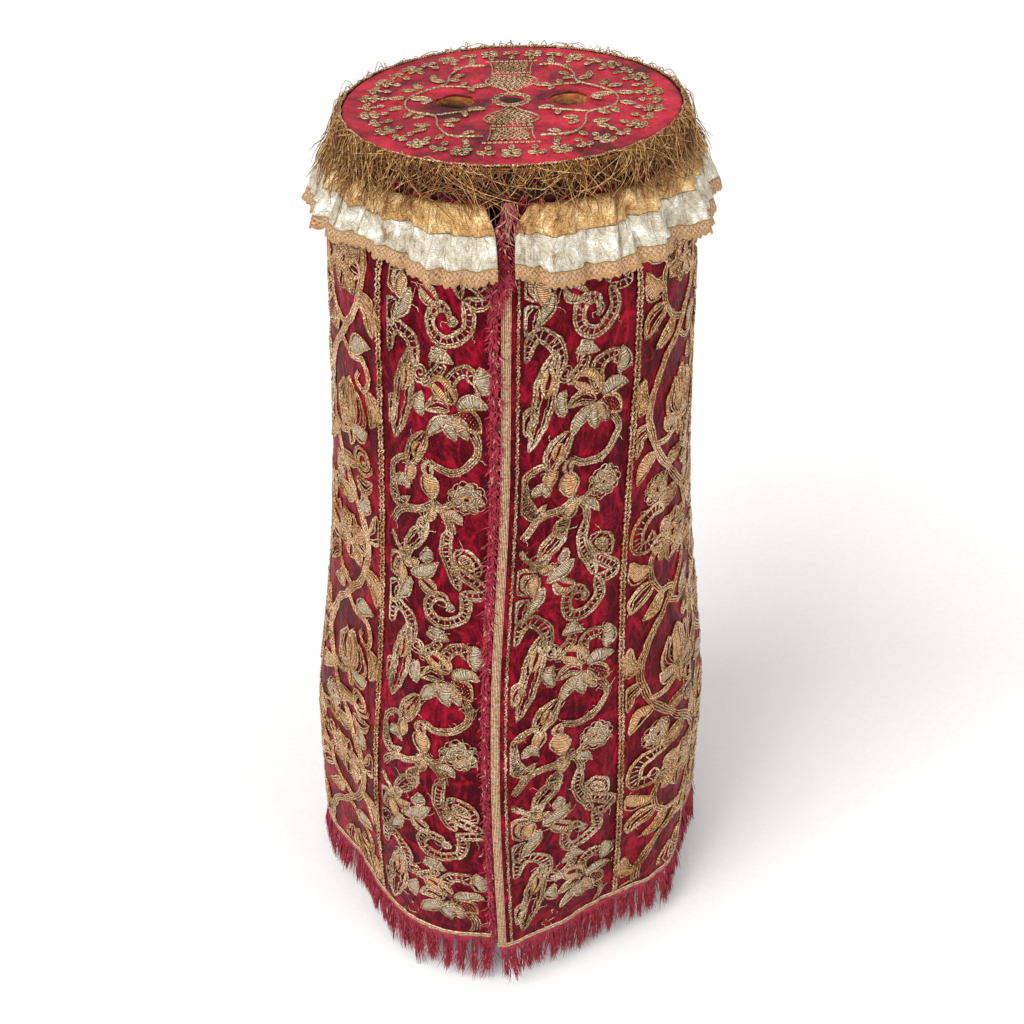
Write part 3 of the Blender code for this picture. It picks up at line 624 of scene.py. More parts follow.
def laid_metal(name, colour, along=False):
    """Metal thread laid side by side over padding: narrow ridges across the form, dark brown between them as
    painted shade and wear, and painted glints.
    """
    made, shader = finish(name, Metallic=0.4, Roughness=0.4)
    place = add_node(made, "UVMap", {}, uv_map="cut_mm").outputs["UV"]
    # Threads 1.5 mm apart, drawn coarser than the real ones so that they show
    sockets = {"Vector": place, "Scale": 0.21, "Distortion": 1.6, "Detail": 2.0, "Detail Scale": 0.6}
    ridges = add_node(made, "TexWave", sockets, bands_direction="Y" if along else "X")
    body = add_node(made, "TexCoord", {}).outputs["Object"]
    worn = add_node(made, "TexNoise", {"Vector": body, "Scale": per(2.2), "Detail": 3.0, "Roughness": 0.7})
    both = summed(made, (worn.outputs["Fac"], 1.0), (ridges.outputs["Fac"], 0.42))
    # Darkest stop: painted shade between the threads, with wear; lightest stop: a painted glint
    ramp = add_node(
        made, "ValToRGB", {"Fac": both},
        stops=[
            (0.46, mixed(colour, srgb("#2A1608"), 0.75)),
            (0.62, mixed(colour, srgb("#5A4020"), 0.4)),
            (0.78, colour),
            (0.94, mixed(colour, srgb("#FFEACC"), 0.6)),
        ],
    )
    connect(made, shader, ramp.outputs["Color"], both, distance=0.0006)
    return made


def thread(name, colour, dark, light, roughness=0.6, sheen=0.3, metallic=0.0, size=3.0):
    """Spun thread that varies from strand to strand."""
    made, shader = finish(name, Roughness=roughness, Sheen_Weight=sheen, Metallic=metallic)
    place = add_node(made, "TexCoord", {}).outputs["Object"]
    fine = add_node(made, "TexNoise", {"Vector": place, "Scale": per(size), "Detail": 3.0, "Roughness": 0.65})
    stops = [(0.34, dark), (0.5, colour), (0.68, light)]
    ramp = add_node(made, "ValToRGB", {"Fac": fine.outputs["Fac"]}, stops=stops)
    connect(made, shader, ramp.outputs["Color"], fine.outputs["Fac"], distance=0.0003)
    return made


def top_silk(colours):
    """Plain silk stretched on a board: slubbed threads, rubbed paler in streaks, painted highlights on
    wrinkles, darker round the holes.
    """
    made, shader = finish("worn_plain_silk", Roughness=0.5, Sheen_Weight=0.0, Specular_IOR_Level=0.25)
    place = add_node(made, "TexCoord", {}).outputs["Object"]
    sockets = {"Vector": place, "Scale": per(38), "Detail": 6.0, "Roughness": 0.65, "Distortion": 0.6}
    worn = add_node(made, "TexNoise", sockets).outputs["Fac"]
    sockets = {"Vector": place, "Scale": (1, 3.5, 1), "Rotation": (0, 0, 0.5)}
    ribs = add_node(made, "Mapping", sockets).outputs["Vector"]
    # Slubs, drawn as streaks of 3 mm
    weave = add_node(
        made, "TexNoise", {"Vector": ribs, "Scale": per(3.2), "Detail": 4.0, "Roughness": 0.7}
    ).outputs["Fac"]
    # Wrinkle lines: raised as relief, and lightening the colour a little as painted highlights
    wrinkle = crease_lines(made, place, per(26), 26.0)
    tone = summed(made, (weave, 0.5), (worn, 1.0), (wrinkle, 0.08))
    # Darker round each point of the table above
    for x, y, inner, outer, dark in SILK_DARK_PATCHES:
        away = add_node(made, "VectorMath", {0: place, 1: (x, y, SILK_TOP)}, operation="DISTANCE")
        sockets = {"Value": away.outputs["Value"], "From Min": inner, "From Max": outer}
        sockets.update({"To Min": -dark, "To Max": 0.0})
        shade = add_node(made, "MapRange", sockets).outputs["Result"]
        tone = summed(made, (shade, 1.0), (tone, 1.0))
    ramp = add_node(
        made, "ValToRGB", {"Fac": tone},
        stops=[
            (0.58, mixed(colours.silk, srgb("#22040E"), 0.85)),
            (0.67, mixed(colours.silk, srgb("#5A0818"), 0.6)),
            (0.76, colours.silk),
            (0.92, mixed(colours.silk, srgb("#E02C44"), 0.8)),
        ],
    )
    relief = summed(made, (weave, 0.5), (wrinkle, 0.7))
    connect(made, shader, ramp.outputs["Color"], relief, distance=0.0007)
    return made


def metal_cloth(name, colour, stain_and_shade, bright, metallic, grain):
    """Cloth woven with flat metal strip: wavy wefts, crumpled, and worn to the silk under it in patches."""
    made, shader = finish(name, Roughness=0.5, Metallic=metallic)
    place = add_node(made, "UVMap", {}, uv_map="cut_mm").outputs["UV"]
    # Wefts 1.4 mm apart and specks of 2 mm, drawn coarser than the real ones so that they show
    sockets = {"Vector": place, "Scale": 0.22, "Distortion": 7.0, "Detail": 3.0, "Detail Scale": 1.0}
    weft = add_node(made, "TexWave", sockets, bands_direction="Y").outputs["Fac"]
    speckle = add_node(
        made, "TexNoise", {"Vector": place, "Scale": 0.55, "Detail": 5.0, "Roughness": 0.8}
    ).outputs["Fac"]
    # Worn patches of 17 mm, and the crumpled cloth's ridges every 6 to 12 mm
    patch = add_node(
        made, "TexNoise", {"Vector": place, "Scale": 0.06, "Detail": 5.0, "Roughness": 0.65}
    ).outputs["Fac"]
    drawn = add_node(made, "Mapping", {"Vector": place, "Scale": (1.0, 0.45, 1.0)}).outputs["Vector"]
    crumple = crease_lines(made, drawn, 0.085, 22.0, 0.8)
    small = crease_lines(made, place, 0.16, 14.0, 0.8)
    # Dark streaks that run down the creases: stains, and painted shade in the creases
    down = add_node(made, "Mapping", {"Vector": place, "Scale": (0.07, 0.018, 1.0)}).outputs["Vector"]
    down_streaks = add_node(
        made, "TexNoise", {"Vector": down, "Scale": 1.0, "Detail": 3.0, "Roughness": 0.6}
    ).outputs["Fac"]
    dirt_and_crease_shade = add_node(
        made, "MapRange", {"Value": down_streaks, "From Min": 0.45, "From Max": 0.28, "To Max": -0.36}
    ).outputs["Result"]
    # The crease ridges darken the tone a little: painted crease shade
    tone = summed(
        made, (weft, 0.06), (speckle, grain), (patch, 1.0), (crumple, -0.04), (small, -0.02), (dirt_and_crease_shade, 1.0)
    )
    middle = grain / 2
    stops = [(0.28 + middle, stain_and_shade), (0.40 + middle, mixed(colour, stain_and_shade, 0.4)), (0.48 + middle, colour)]
    ramp = add_node(made, "ValToRGB", {"Fac": tone}, stops=stops)
    # Painted glints: the brightest tones turn towards the bright colour
    glint = add_node(made, "MapRange", {"Value": tone, "From Min": 0.53 + middle, "From Max": 0.66 + middle})
    sockets = {0: glint.outputs["Result"], 6: ramp.outputs["Color"], 7: (*bright, 1.0)}
    both = add_node(made, "Mix", sockets, data_type="RGBA")
    relief = summed(made, (speckle, 0.3), (crumple, -0.5), (small, -0.25), (weft, 0.1))
    connect(made, shader, both.outputs[2], relief, distance=0.0012)
    return made


def lace_edging(colours):
    """Bobbin lace of metal thread: rows of zigzags and lozenges, and gold lines along both edges."""
    made, shader = finish("metal_thread_lace", Roughness=0.62, Metallic=0.15)
    place = add_node(made, "UVMap", {}, uv_map="cut_mm").outputs["UV"]
    # Lozenges of the net, 2.8 mm across
    sockets = {"Vector": place, "Rotation": (0, 0, math.radians(45)), "Scale": (0.36, 0.36, 1)}
    net = add_node(made, "Mapping", sockets).outputs["Vector"]
    sockets = {"Vector": net, "Scale": 1.0, "Randomness": 0.15}
    check = add_node(made, "TexVoronoi", sockets, distance="MANHATTAN")
    speckle = add_node(made, "TexNoise", {"Vector": place, "Scale": 0.9, "Detail": 4.0, "Roughness": 0.7})
    both = summed(made, (speckle.outputs["Fac"], 1.0), (check.outputs["Distance"], 0.24))
    ramp = add_node(
        made, "ValToRGB", {"Fac": both},
        stops=[
            (0.46, mixed(colours.lace, srgb("#6A3E1C"), 0.6)),
            (0.58, colours.lace),
            (0.74, mixed(colours.lace, srgb("#E8CCA8"), 0.6)),
        ],
    )
    height = add_node(made, "SeparateXYZ", {"Vector": place}).outputs["Y"]
    tenth = add_node(made, "Math", {0: height, 1: 0.1}, operation="MULTIPLY").outputs[0]
    off, on = (0, 0, 0), (1, 1, 1)
    # Lines near the lower edge and along the upper one
    stops = [(0.12, off), (0.16, on), (0.22, on), (0.26, off), (0.86, off), (0.92, on)]
    lines = add_node(made, "ValToRGB", {"Fac": tenth}, stops=stops).outputs["Color"]
    sockets = {0: lines, 6: ramp.outputs["Color"], 7: (*srgb("#B48444"), 1.0)}
    colour = add_node(made, "Mix", sockets, data_type="RGBA").outputs[2]
    connect(made, shader, colour, both, distance=0.0008)
    return made


def bare_wood():
    """Bare softwood with old oil in it: warm brown, with painted shade that darkens the holes' walls towards
    their bottom.
    """
    made, shader = finish("bare_softwood", Roughness=0.6)
    place = add_node(made, "TexCoord", {}).outputs["Object"]
    along = add_node(made, "Mapping", {"Vector": place, "Scale": (0.12, 1, 1)}).outputs["Vector"]
    sockets = {"Vector": along, "Scale": per(3.0), "Detail": 5.0, "Roughness": 0.6, "Distortion": 0.4}
    grain = add_node(made, "TexNoise", sockets)
    ramp = add_node(
        made, "ValToRGB", {"Fac": grain.outputs["Fac"]},
        stops=[(0.3, srgb("#6A3412")), (0.5, srgb("#B86C34")), (0.7, srgb("#D89858"))],
    )
    # Painted shade in the holes: the lower the wood lies, the darker, near black below 2 mm
    depth = add_node(made, "SeparateXYZ", {"Vector": place}).outputs["Z"]
    shade = add_node(made, "MapRange", {"Value": depth, "From Min": 0.002, "From Max": 0.011})
    sockets = {0: shade.outputs["Result"], 6: (*srgb("#1C0C06"), 1.0), 7: ramp.outputs["Color"]}
    colour = add_node(made, "Mix", sockets, data_type="RGBA")
    connect(made, shader, colour.outputs[2], grain.outputs["Fac"], distance=0.0004)
    return made


def paper_floor():
    """A matt paper sweep, nearly white, with the faintest tooth."""
    made, shader = finish("matt_paper", Roughness=0.9, Specular_IOR_Level=0.1)
    place = add_node(made, "TexCoord", {}).outputs["Object"]
    tooth = add_node(made, "TexNoise", {"Vector": place, "Scale": per(5), "Detail": 2.0})
    ramp = add_node(
        made, "ValToRGB", {"Fac": tooth.outputs["Fac"]},
        stops=[(0.3, srgb("#FBFAF9")), (0.7, srgb("#FEFEFD"))],
    )
    connect(made, shader, ramp.outputs["Color"])
    return made


def kept(name, make):
    """A material that several pieces share: made the first time it is asked for."""
    if name not in MATERIALS:
        MATERIALS[name] = make(bpy.context.scene.mantle_colours)
    return MATERIALS[name]


MATERIALS = {}
MAKERS = dict(
    velvet=crushed_velvet,
    silk=top_silk,
    silver_gilt=lambda c: metal_thread("silver_gilt_purl", c.silver_gilt),
    yellow_gilt=lambda c: metal_thread("yellow_gilt_purl", c.yellow_gilt),
    bright_gilt=lambda c: metal_thread(
        "bright_silver_gilt", mixed(c.silver_gilt, srgb("#E0C896"), 0.55), 0.6
    ),
    grey_silver=lambda c: metal_thread("grey_silver_purl", srgb("#90806A")),
    laid_silver_gilt=lambda c: laid_metal("laid_silver_gilt", c.silver_gilt),
    laid_yellow_gilt=lambda c: laid_metal("laid_yellow_gilt", c.yellow_gilt),
    laid_grey_silver=lambda c: laid_metal("laid_grey_silver", srgb("#9C886C")),
    laid_bright_gilt=lambda c: laid_metal("laid_bright_gilt", mixed(c.silver_gilt, srgb("#ECC68C"), 0.8)),
    galloon=lambda c: laid_metal("woven_gilt_galloon", mixed(c.silver_gilt, srgb("#C8986C"), 0.35)),
    hem_galloon=lambda c: laid_metal(
        "woven_gilt_hem_galloon", mixed(c.silver_gilt, srgb("#C8A478"), 0.25), along=True
    ),
    couched_yellow_gilt=lambda c: laid_metal("couched_yellow_gilt", c.yellow_gilt, along=True),
    wire=lambda c: thread(
        "tarnished_gilt_wire", mixed(c.wire, srgb("#3A1C0A"), 0.5), mixed(c.wire, srgb("#1E0C06"), 0.85),
        c.wire,
        roughness=0.4, sheen=0.0, metallic=0.2,
    ),
    light_wire=lambda c: thread(
        "gilt_wire", mixed(c.wire, srgb("#E0B46C"), 0.45), mixed(c.wire, srgb("#3A1C0A"), 0.5),
        mixed(c.wire, srgb("#F8D898"), 0.75), roughness=0.4, sheen=0.0, metallic=0.3,
    ),
    floss=lambda c: thread(
        "silk_floss", c.floss, mixed(c.floss, srgb("#4A0418"), 0.7), mixed(c.floss, srgb("#D04464"), 0.4),
        sheen=0.0, size=5.0,
    ),
    pale_floss=lambda c: thread("frayed_silk", srgb("#B87A6A"), srgb("#74362E"), srgb("#E6C4A8"), sheen=0.0),
    dark_tufts=lambda c: thread(
        "dark_silk_tufts", srgb("#1E0E0A"), srgb("#0A0403"), srgb("#3A2014"), roughness=0.95, sheen=0.0
    ),
    orange_tufts=lambda c: thread(
        "orange_silk_tufts", srgb("#A85A28"), srgb("#5A2A10"), srgb("#D89050"), sheen=0.0
    ),
    # Each cloth: its colour, its stain with painted crease shade, and its painted glint colour
    gold_cloth=lambda c: metal_cloth(
        "cloth_of_gold", c.gold_cloth, srgb("#6A3C14"), mixed(c.gold_cloth, srgb("#FFE8B4"), 0.65), 0.3, 0.98
    ),
    silver_cloth=lambda c: metal_cloth(
        "cloth_of_silver", c.silver_cloth, srgb("#846844"), srgb("#F8F5EC"), 0.15, 0.62
    ),
    lace=lace_edging,
    wood=lambda c: bare_wood(),
    floor=lambda c: paper_floor(),
)


def material(name):
    """One of the mantle's finishes, by its short name."""
    return kept(name, MAKERS[name])


def shown(name, mesh, materials, replaces=()):
    """A finished piece: linked, smooth, riding on the mantle's body and standing for its solids."""
    made = bpy.data.objects.new(name, mesh)
    bpy.context.scene.collection.objects.link(made)
    if not mesh.materials:
        for item in materials:
            mesh.materials.append(material(item))
    mesh.shade_smooth()
    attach(made, "root")
    if replaces:
        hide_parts(*replaces)
    return made


def laid(name, columns, rows, place, size=(1.0, 1.0), ring=False):
    """A grid laid over a surface by place(across, up), which works on arrays, with its cut size as UV."""
    bm = bmesh.new()
    bmesh.ops.create_grid(bm, x_segments=columns, y_segments=rows, size=0.5)
    mesh = bpy.data.meshes.new(name)
    bm.to_mesh(mesh)
    bm.free()
    flat = np.empty(len(mesh.vertices) * 3)
    mesh.vertices.foreach_get("co", flat)
    across, up = flat[0::3] + 0.5, flat[1::3] + 0.5
    mesh.vertices.foreach_set("co", place(across, up).astype(np.float32).ravel())
    corners = np.empty(len(mesh.loops), np.int32)
    mesh.loops.foreach_get("vertex_index", corners)
    uv = np.stack((across[corners] * size[0], up[corners] * size[1]), -1)
    mesh.uv_layers.new(name="cut_mm").data.foreach_set("uv", uv.astype(np.float32).ravel())
    if ring:
        bm = bmesh.new()
        bm.from_mesh(mesh)
        bmesh.ops.remove_doubles(bm, verts=bm.verts, dist=0.000005)
        bm.to_mesh(mesh)
        bm.free()
    return mesh


def thicken(made, thickness, outward):
    """Gives a sheet its thickness, to its outer or its inner side."""
    wall = made.modifiers.new("thickness", "SOLIDIFY")
    wall.thickness = thickness
    wall.offset = 1.0 if outward else -1.0
    return made


def baked(made):
    """Applies a piece's modifiers to its mesh."""
    bpy.context.view_layer.update()
    graph = bpy.context.evaluated_depsgraph_get()
    mesh = bpy.data.meshes.new_from_object(made.evaluated_get(graph), depsgraph=graph)
    made.modifiers.clear()
    made.data = mesh
    return made


def tubes(name, lines, materials, replaces=()):
    """Many threads as one piece. lines holds (points, radii, which material) for each."""
    ring = bpy.data.curves.new(name + "_round", "CURVE")
    side = ring.splines.new("POLY")
    side.points.add(2)
    for point, turn in zip(side.points, (90, 210, 330)):
        point.co = (1.15 * math.cos(math.radians(turn)), 1.15 * math.sin(math.radians(turn)), 0, 1)
    side.use_cyclic_u = True
    section = bpy.data.objects.new(name + "_round", ring)
    bpy.context.scene.collection.objects.link(section)
    curve = bpy.data.curves.new(name, "CURVE")
    curve.dimensions = "3D"
    curve.bevel_mode = "OBJECT"
    curve.bevel_object = section
    for item in materials:
        curve.materials.append(material(item))
    for points, radii, which in lines:
        spline = curve.splines.new("POLY")
        spline.points.add(len(points) - 1)
        rows = np.ones((len(points), 4), np.float32)
        rows[:, :3] = points
        spline.points.foreach_set("co", rows.ravel())
        spline.points.foreach_set("radius", np.asarray(radii, np.float32))
        spline.material_index = int(which)
    holder = bpy.data.objects.new(name + "_path", curve)
    bpy.context.scene.collection.objects.link(holder)
    bpy.context.view_layer.update()
    graph = bpy.context.evaluated_depsgraph_get()
    mesh = bpy.data.meshes.new_from_object(holder.evaluated_get(graph), depsgraph=graph)
    bpy.data.objects.remove(holder)
    bpy.data.objects.remove(section)
    bm = bmesh.new()
    bm.from_mesh(mesh)
    bmesh.ops.remove_doubles(bm, verts=bm.verts, dist=0.000002)
    bm.to_mesh(mesh)
    bm.free()
    mesh.name = name
    return shown(name, mesh, materials, replaces)


def taper(count, radius, start=0.0, end=0.0):
    """Radii along a thread that closes at its ends."""
    radii = np.full(count, radius)
    radii[0], radii[-1] = start * radius, end * radius
    return radii


def bend(points, step=2.5, least=7):
    """A smooth line through given points, in even steps, as complex numbers."""
    marks = np.array([complex(*p) if isinstance(p, tuple) else p for p in points])
    if len(marks) < 3:
        marks = np.array([marks[0], (marks[0] + marks[-1]) / 2, marks[-1]])
    travel = np.concatenate(([0.0], np.cumsum(np.abs(np.diff(marks)))))
    slope = np.gradient(marks, travel)
    at = np.linspace(0, travel[-1], max(least, int(travel[-1] / step) + 1))
    i = np.clip(np.searchsorted(travel, at, side="right") - 1, 0, len(marks) - 2)
    gap = travel[i + 1] - travel[i]
    t = (at - travel[i]) / gap
    return (
        marks[i] * (1 + 2 * t) * (1 - t) ** 2 + slope[i] * gap * t * (1 - t) ** 2
        + marks[i + 1] * t * t * (3 - 2 * t) + slope[i + 1] * gap * t * t * (t - 1)
    )


class Design:
    """Couched cords and raised pads on the plane of the cloth, in millimetres as x + iy, with y down."""

    def __init__(self):
        self.cords = []
        self.pads = []

    def cord(self, line, radius=0.85, lift=0.7, metal=0):
        """A cord along a line."""
        self.cords.append((line, radius, lift, metal))

    def pad(self, line, side, height=1.3, metal=0):
        """A raised pad of laid thread: nine points of its middle and of half its width."""
        pick = np.linspace(0, len(line) - 1, 9).round().astype(int)
        self.pads.append((line[pick], side[pick], height, metal))

    def put(self, other, at=0j, turn=0.0, size=1.0, flip=False):
        """Sets another design into this one, mirrored left to right, turned, scaled and moved."""
        spin = size * np.exp(1j * math.radians(turn))

        def move(line, step=0j):
            return (-np.conj(line) if flip else line) * spin + step

        self.cords += [(move(line, at), radius, lift, metal) for line, radius, lift, metal in other.cords]
        self.pads += [(move(line, at), move(side), height, metal) for line, side, height, metal in other.pads]

    def change(self, metal, cord_metal, pad_metal=None):
        """Works the cords of one metal in another, and the pads too where one is given for them."""
        self.cords = [(*cord[:3], cord_metal if cord[3] == metal else cord[3]) for cord in self.cords]
        if pad_metal is not None:
            self.pads = [(*pad[:3], pad_metal if pad[3] == metal else pad[3]) for pad in self.pads]


def curled(line, size=1.0):
    """A thin thread in small loops beside a line."""
    travel = np.concatenate(([0.0], np.cumsum(np.abs(np.diff(line)))))
    at = np.arange(0, travel[-1], 1.3)
    path = np.interp(at, travel, line.real) + 1j * np.interp(at, travel, line.imag)
    return path + size * np.exp(1j * at * 1.4) * (1 + 0.3 * np.sin(at * 0.37))


def outlined(points, width, fill, metal, band, curls=False):
    """A leaf or a band along a line, outlined with cord and filled with laid thread, a net, bars or beads."""
    made = Design()
    line = bend(points)
    count = len(line)
    t = np.linspace(0, 1, count)
    swell = np.clip(np.sin(math.pi * t) * 2.6, 0, 1) ** 0.5 if band else np.sin(math.pi * t**0.85) ** 0.75
    swell[0] = swell[-1] = 0
    side = 1j * np.gradient(line)
    side = side / np.abs(side) * width / 2 * swell
    outer = np.concatenate((line + side, (line - side)[::-1]))
    made.cord(outer, 1.05, 0.9, 1 if metal == 3 else 0 if fill == "laid" else metal)
    if curls and len(outer) > 12:
        made.cord(curled(outer), 0.34, 1.3, 3 if width % 2 else 2)
    if fill in ("net", "ladder", "beads"):
        inner = max(0.3, 1 - 4.0 / width)
        made.cord(np.concatenate((line + side * inner, (line - side * inner)[::-1]))[1:-1], 0.85, 0.7, 0)
    if fill == "laid":
        made.pad(line, side * 0.88, 1.7, metal)
    elif fill == "couched":
        made.pad(line, side * 0.9, 1.6, 3)
        for share in (0.66, 0.3):
            inside = np.concatenate((line + side * share, (line - side * share)[::-1]))[1:-1]
            made.cord(inside, 0.75, 2.1 - share, 0 if share > 0.5 else 1)
    elif fill == "slit":
        made.pad(line + side * 0.58, side * 0.36, 1.6, metal)
        made.pad(line - side * 0.58, side * 0.36, 1.6, metal)
    elif fill == "ladder":
        for k in range(2, count - 2, 2):
            bar = np.array([line[k] + side[k] * 0.8, line[k], line[k] - side[k] * 0.8])
            made.cord(bar, 0.8, 0.7, 2 if k % 4 else 0)
    elif fill == "net" and width > 14:
        for k, share in enumerate((0.70, 0.32)):
            stray = 0.5 * np.sin(np.arange(count) * 1.7 + 3 * k)
            inside = np.concatenate((line + side * share + stray, (line - side * share - stray)[::-1]))[1:-1]
            made.cord(inside, (0.8, 0.65)[k], 0.7 + 0.2 * k, (3, 0)[k] if metal != 1 else (1, 3)[k])
        for k in range(3, count - 3, 3):
            middle = line[k] + side[k] * 0.5 * (-1) ** k
            made.cord(curled(middle + np.array([-1.5, 1.5]), 1.6), 0.45, 1.4, 3)
    elif fill == "net":
        zig = np.where(np.arange(count) % 2 == 0, 0.62, -0.62)
        made.cord((line + side * zig)[1:-1], 0.75, 0.6, metal)
        made.cord((line - side * zig)[1:-1], 0.75, 1.0, 3 if metal == 0 else metal)
    elif fill == "beads":
        for k in range(1, count - 1):
            for row in (-0.36, 0.0, 0.36):
                knot = line[k] + side[k] * (row + 0.1 * (k % 2))
                made.cord(np.array([knot - 0.5, knot, knot + 0.5]), 0.9, 0.8, metal)
    return made


def stem(points, width, metal):
    """A stalk of couched threads side by side."""
    made = Design()
    line = bend(points)
    side = 1j * np.gradient(line)
    side = side / np.abs(side)
    threads = max(2, round(width / 1.9))
    for k in range(threads):
        across = (k / (threads - 1) - 0.5) * (width - 1.6)
        made.cord(line + side * across, 0.95, 0.7 + 0.3 * (k % 2), metal if k % 2 else 0)
    return made


def rosette(width, metal):
    """A small flower of padded petals round a ring, with a curled thread round it."""
    made = Design()
    reach, petals = width / 2, 8
    for k in range(petals):
        way = np.exp(2j * math.pi * (k + 0.3) / petals) * (1 + 0.08 * math.sin(k * 2.3))
        wide = 1.55 * reach * math.sin(math.pi / petals)
        made.put(outlined([2.8 * way, 0.6 * reach * way, reach * way], wide, "laid", metal, False))
    ring = 3.0 * np.exp(2j * math.pi * np.linspace(0, 1, 13))
    made.cord(ring, 0.9, 1.2, 1)
    turn = np.linspace(0, 2 * math.pi, petals * 9)
    curl = 1.7 * np.exp(1j * turn * (petals * 1.5))
    made.cord((reach + 0.4) * np.exp(1j * turn) + curl, 0.45, 0.8, 3)
    return made


def bloom(width):
    """A large flower: a ring of broad couched petals, an inner ring of laid ones and a knotted heart."""
    made = Design()
    reach, petals = width / 2, 8
    for k in range(petals):
        way = np.exp(2j * math.pi * (k + 0.2) / petals) * (1 + 0.07 * math.sin(k * 1.9))
        wide = 1.7 * reach * math.sin(math.pi / petals)
        fill = "couched" if k % 2 else "net"
        line = [share * reach * way for share in (0.34, 0.7, 1.0)]
        made.put(outlined(line, wide, fill, 3 if k % 2 else 1, False))
    for k in range(petals - 2):
        way = np.exp(2j * math.pi * k / (petals - 2))
        line = [share * reach * way for share in (0.1, 0.28, 0.46)]
        made.put(outlined(line, 0.3 * reach, "laid", 1, False))
    for k in range(5):
        knot = 1.6 * np.exp(2j * math.pi * k / 5)
        made.cord(np.array([knot - 0.6, knot, knot + 0.6]), 1.1, 2.2, 3)
    return made


def spiral(width, metal):
    """A curled tendril of two threads."""
    made = Design()
    turn = np.linspace(0, 2.4 * 2 * math.pi, 34)
    line = width / 2 * (1 - turn / turn[-1] * 0.82) * np.exp(1j * turn)
    for shift in ((-0.9, 0.9) if width > 20 else (0,)):
        made.cord(line + shift * np.exp(1j * turn), 0.9, 0.9, metal)
    return made


def arrange(forms, bold, curls):
    """Works the rows of a table of forms into one design, drawn bolder than their rows by a factor."""
    made = Design()
    for k, (form, line, width, fill, metal) in enumerate(forms):
        middle = complex(*line[0])
        if form == "rosette":
            made.put(rosette(width, metal), middle)
        elif form == "bloom":
            made.put(bloom(width * bold), middle)
        elif form == "spiral":
            made.put(spiral(width * bold, metal), middle)
        elif form == "stem":
            made.put(stem(line, width * bold, metal))
        else:
            made.put(outlined(line, width * bold, fill, metal, form == "band", curls and k % 3 != 1))
    return made


CORD_METALS = ["silver_gilt", "yellow_gilt", "grey_silver", "bright_gilt"]
PAD_METALS = [
    "laid_silver_gilt", "laid_yellow_gilt", "laid_grey_silver", "couched_yellow_gilt", "dark_tufts",
    "laid_bright_gilt",
]
PAD_ROWS, PAD_COLUMNS = 8, 3


def padding(name, pads):
    """All the raised pads of a piece: copies of one small grid, each domed over its own outline."""
    bm = bmesh.new()
    bmesh.ops.create_grid(bm, x_segments=PAD_ROWS, y_segments=PAD_COLUMNS, size=0.5)
    mesh = bpy.data.meshes.new(name)
    bm.to_mesh(mesh)
    bm.free()
    template = bpy.data.objects.new(name, mesh)
    bpy.context.scene.collection.objects.link(template)
    copies = template.modifiers.new("copies", "ARRAY")
    copies.count = len(pads)
    copies.use_relative_offset = False
    baked(template)
    mesh = template.data
    corner = np.empty(len(mesh.vertices) * 3)
    mesh.vertices.foreach_get("co", corner)
    each = (PAD_ROWS + 1) * (PAD_COLUMNS + 1)
    row = ((corner[0 : 3 * each : 3] + 0.5) * PAD_ROWS).round().astype(int)
    across = corner[1 : 3 * each : 3] * 2
    width = across[:, None]
    places = np.concatenate([
        points[row] + sides[row] * width * 0.96 + domes[row] * (1 - width**2)
        for points, sides, domes, _, _ in pads
    ])
    mesh.vertices.foreach_set("co", places.astype(np.float32).ravel())
    lengths = np.concatenate([
        np.stack((row * long / PAD_ROWS, across * wide), -1) for _, _, _, (long, wide), _ in pads
    ])
    corners = np.empty(len(mesh.loops), np.int32)
    mesh.loops.foreach_get("vertex_index", corners)
    mesh.uv_layers.new(name="cut_mm").data.foreach_set("uv", lengths[corners].astype(np.float32).ravel())
    metals = np.repeat([metal for *_, metal in pads], PAD_ROWS * PAD_COLUMNS)
    bpy.data.objects.remove(template)
    for item in PAD_METALS:
        mesh.materials.append(material(item))
    mesh.polygons.foreach_set("material_index", metals.astype(np.int32))
    shown(name, mesh, PAD_METALS)


def worked(name, design, place, fine=1.0):
    """Sews a design on a surface. place(line, lift) gives the surface's points and which of them to keep."""
    lines = []
    for line, radius, lift, metal in design.cords:
        line = thinned(line) if len(line) > 7 else line
        points, keep = place(line, lift)
        if keep.all():
            lines.append((points, taper(len(line), fine * radius / 1000, 0.3, 0.3), metal))
        elif keep.sum() > 3 and not (keep[0] and keep[-1]):
            lines.append((points[keep], taper(int(keep.sum()), fine * radius / 1000, 0.3, 0.3), metal))
    tubes(name + "_cords", lines, CORD_METALS)
    pads = []
    for line, side, height, metal in design.pads:
        points, keep = place(line, 0.3)
        if not keep.all():
            continue
        edge, _ = place(line + side, 0.3)
        proud, _ = place(line, 0.3 + height * fine**2)
        swell = np.abs(side) / np.abs(side).max()
        size = (np.abs(np.diff(line)).sum(), np.abs(side).max())
        pads.append((points, edge - points, (proud - points) * swell[:, None] ** 0.7, size, metal))
    padding(name + "_pads", pads)


def wobble(line, phase):
    """Sets a line a little out of true, as handwork is."""
    x, y = line.real, line.imag
    shift = 0.9 * np.sin(x * 0.13 + y * 0.07 + phase) + 0.5 * np.sin(y * 0.29 - x * 0.17 + 2 * phase)
    drop = 0.9 * np.sin(y * 0.11 - x * 0.09 + 3 * phase) + 0.5 * np.sin(x * 0.31 + y * 0.13 + phase)
    return line + shift + 1j * drop


def thinned(line, most=0.2):
    """Leaves out points of a line where it hardly bends."""
    bends = np.abs(np.angle(np.diff(line)[1:] / np.diff(line)[:-1]))
    keep = np.ones(len(line), bool)
    for k in range(1, len(line) - 1):
        keep[k] = bends[k - 1] > most or not keep[k - 1]
    return line[keep]


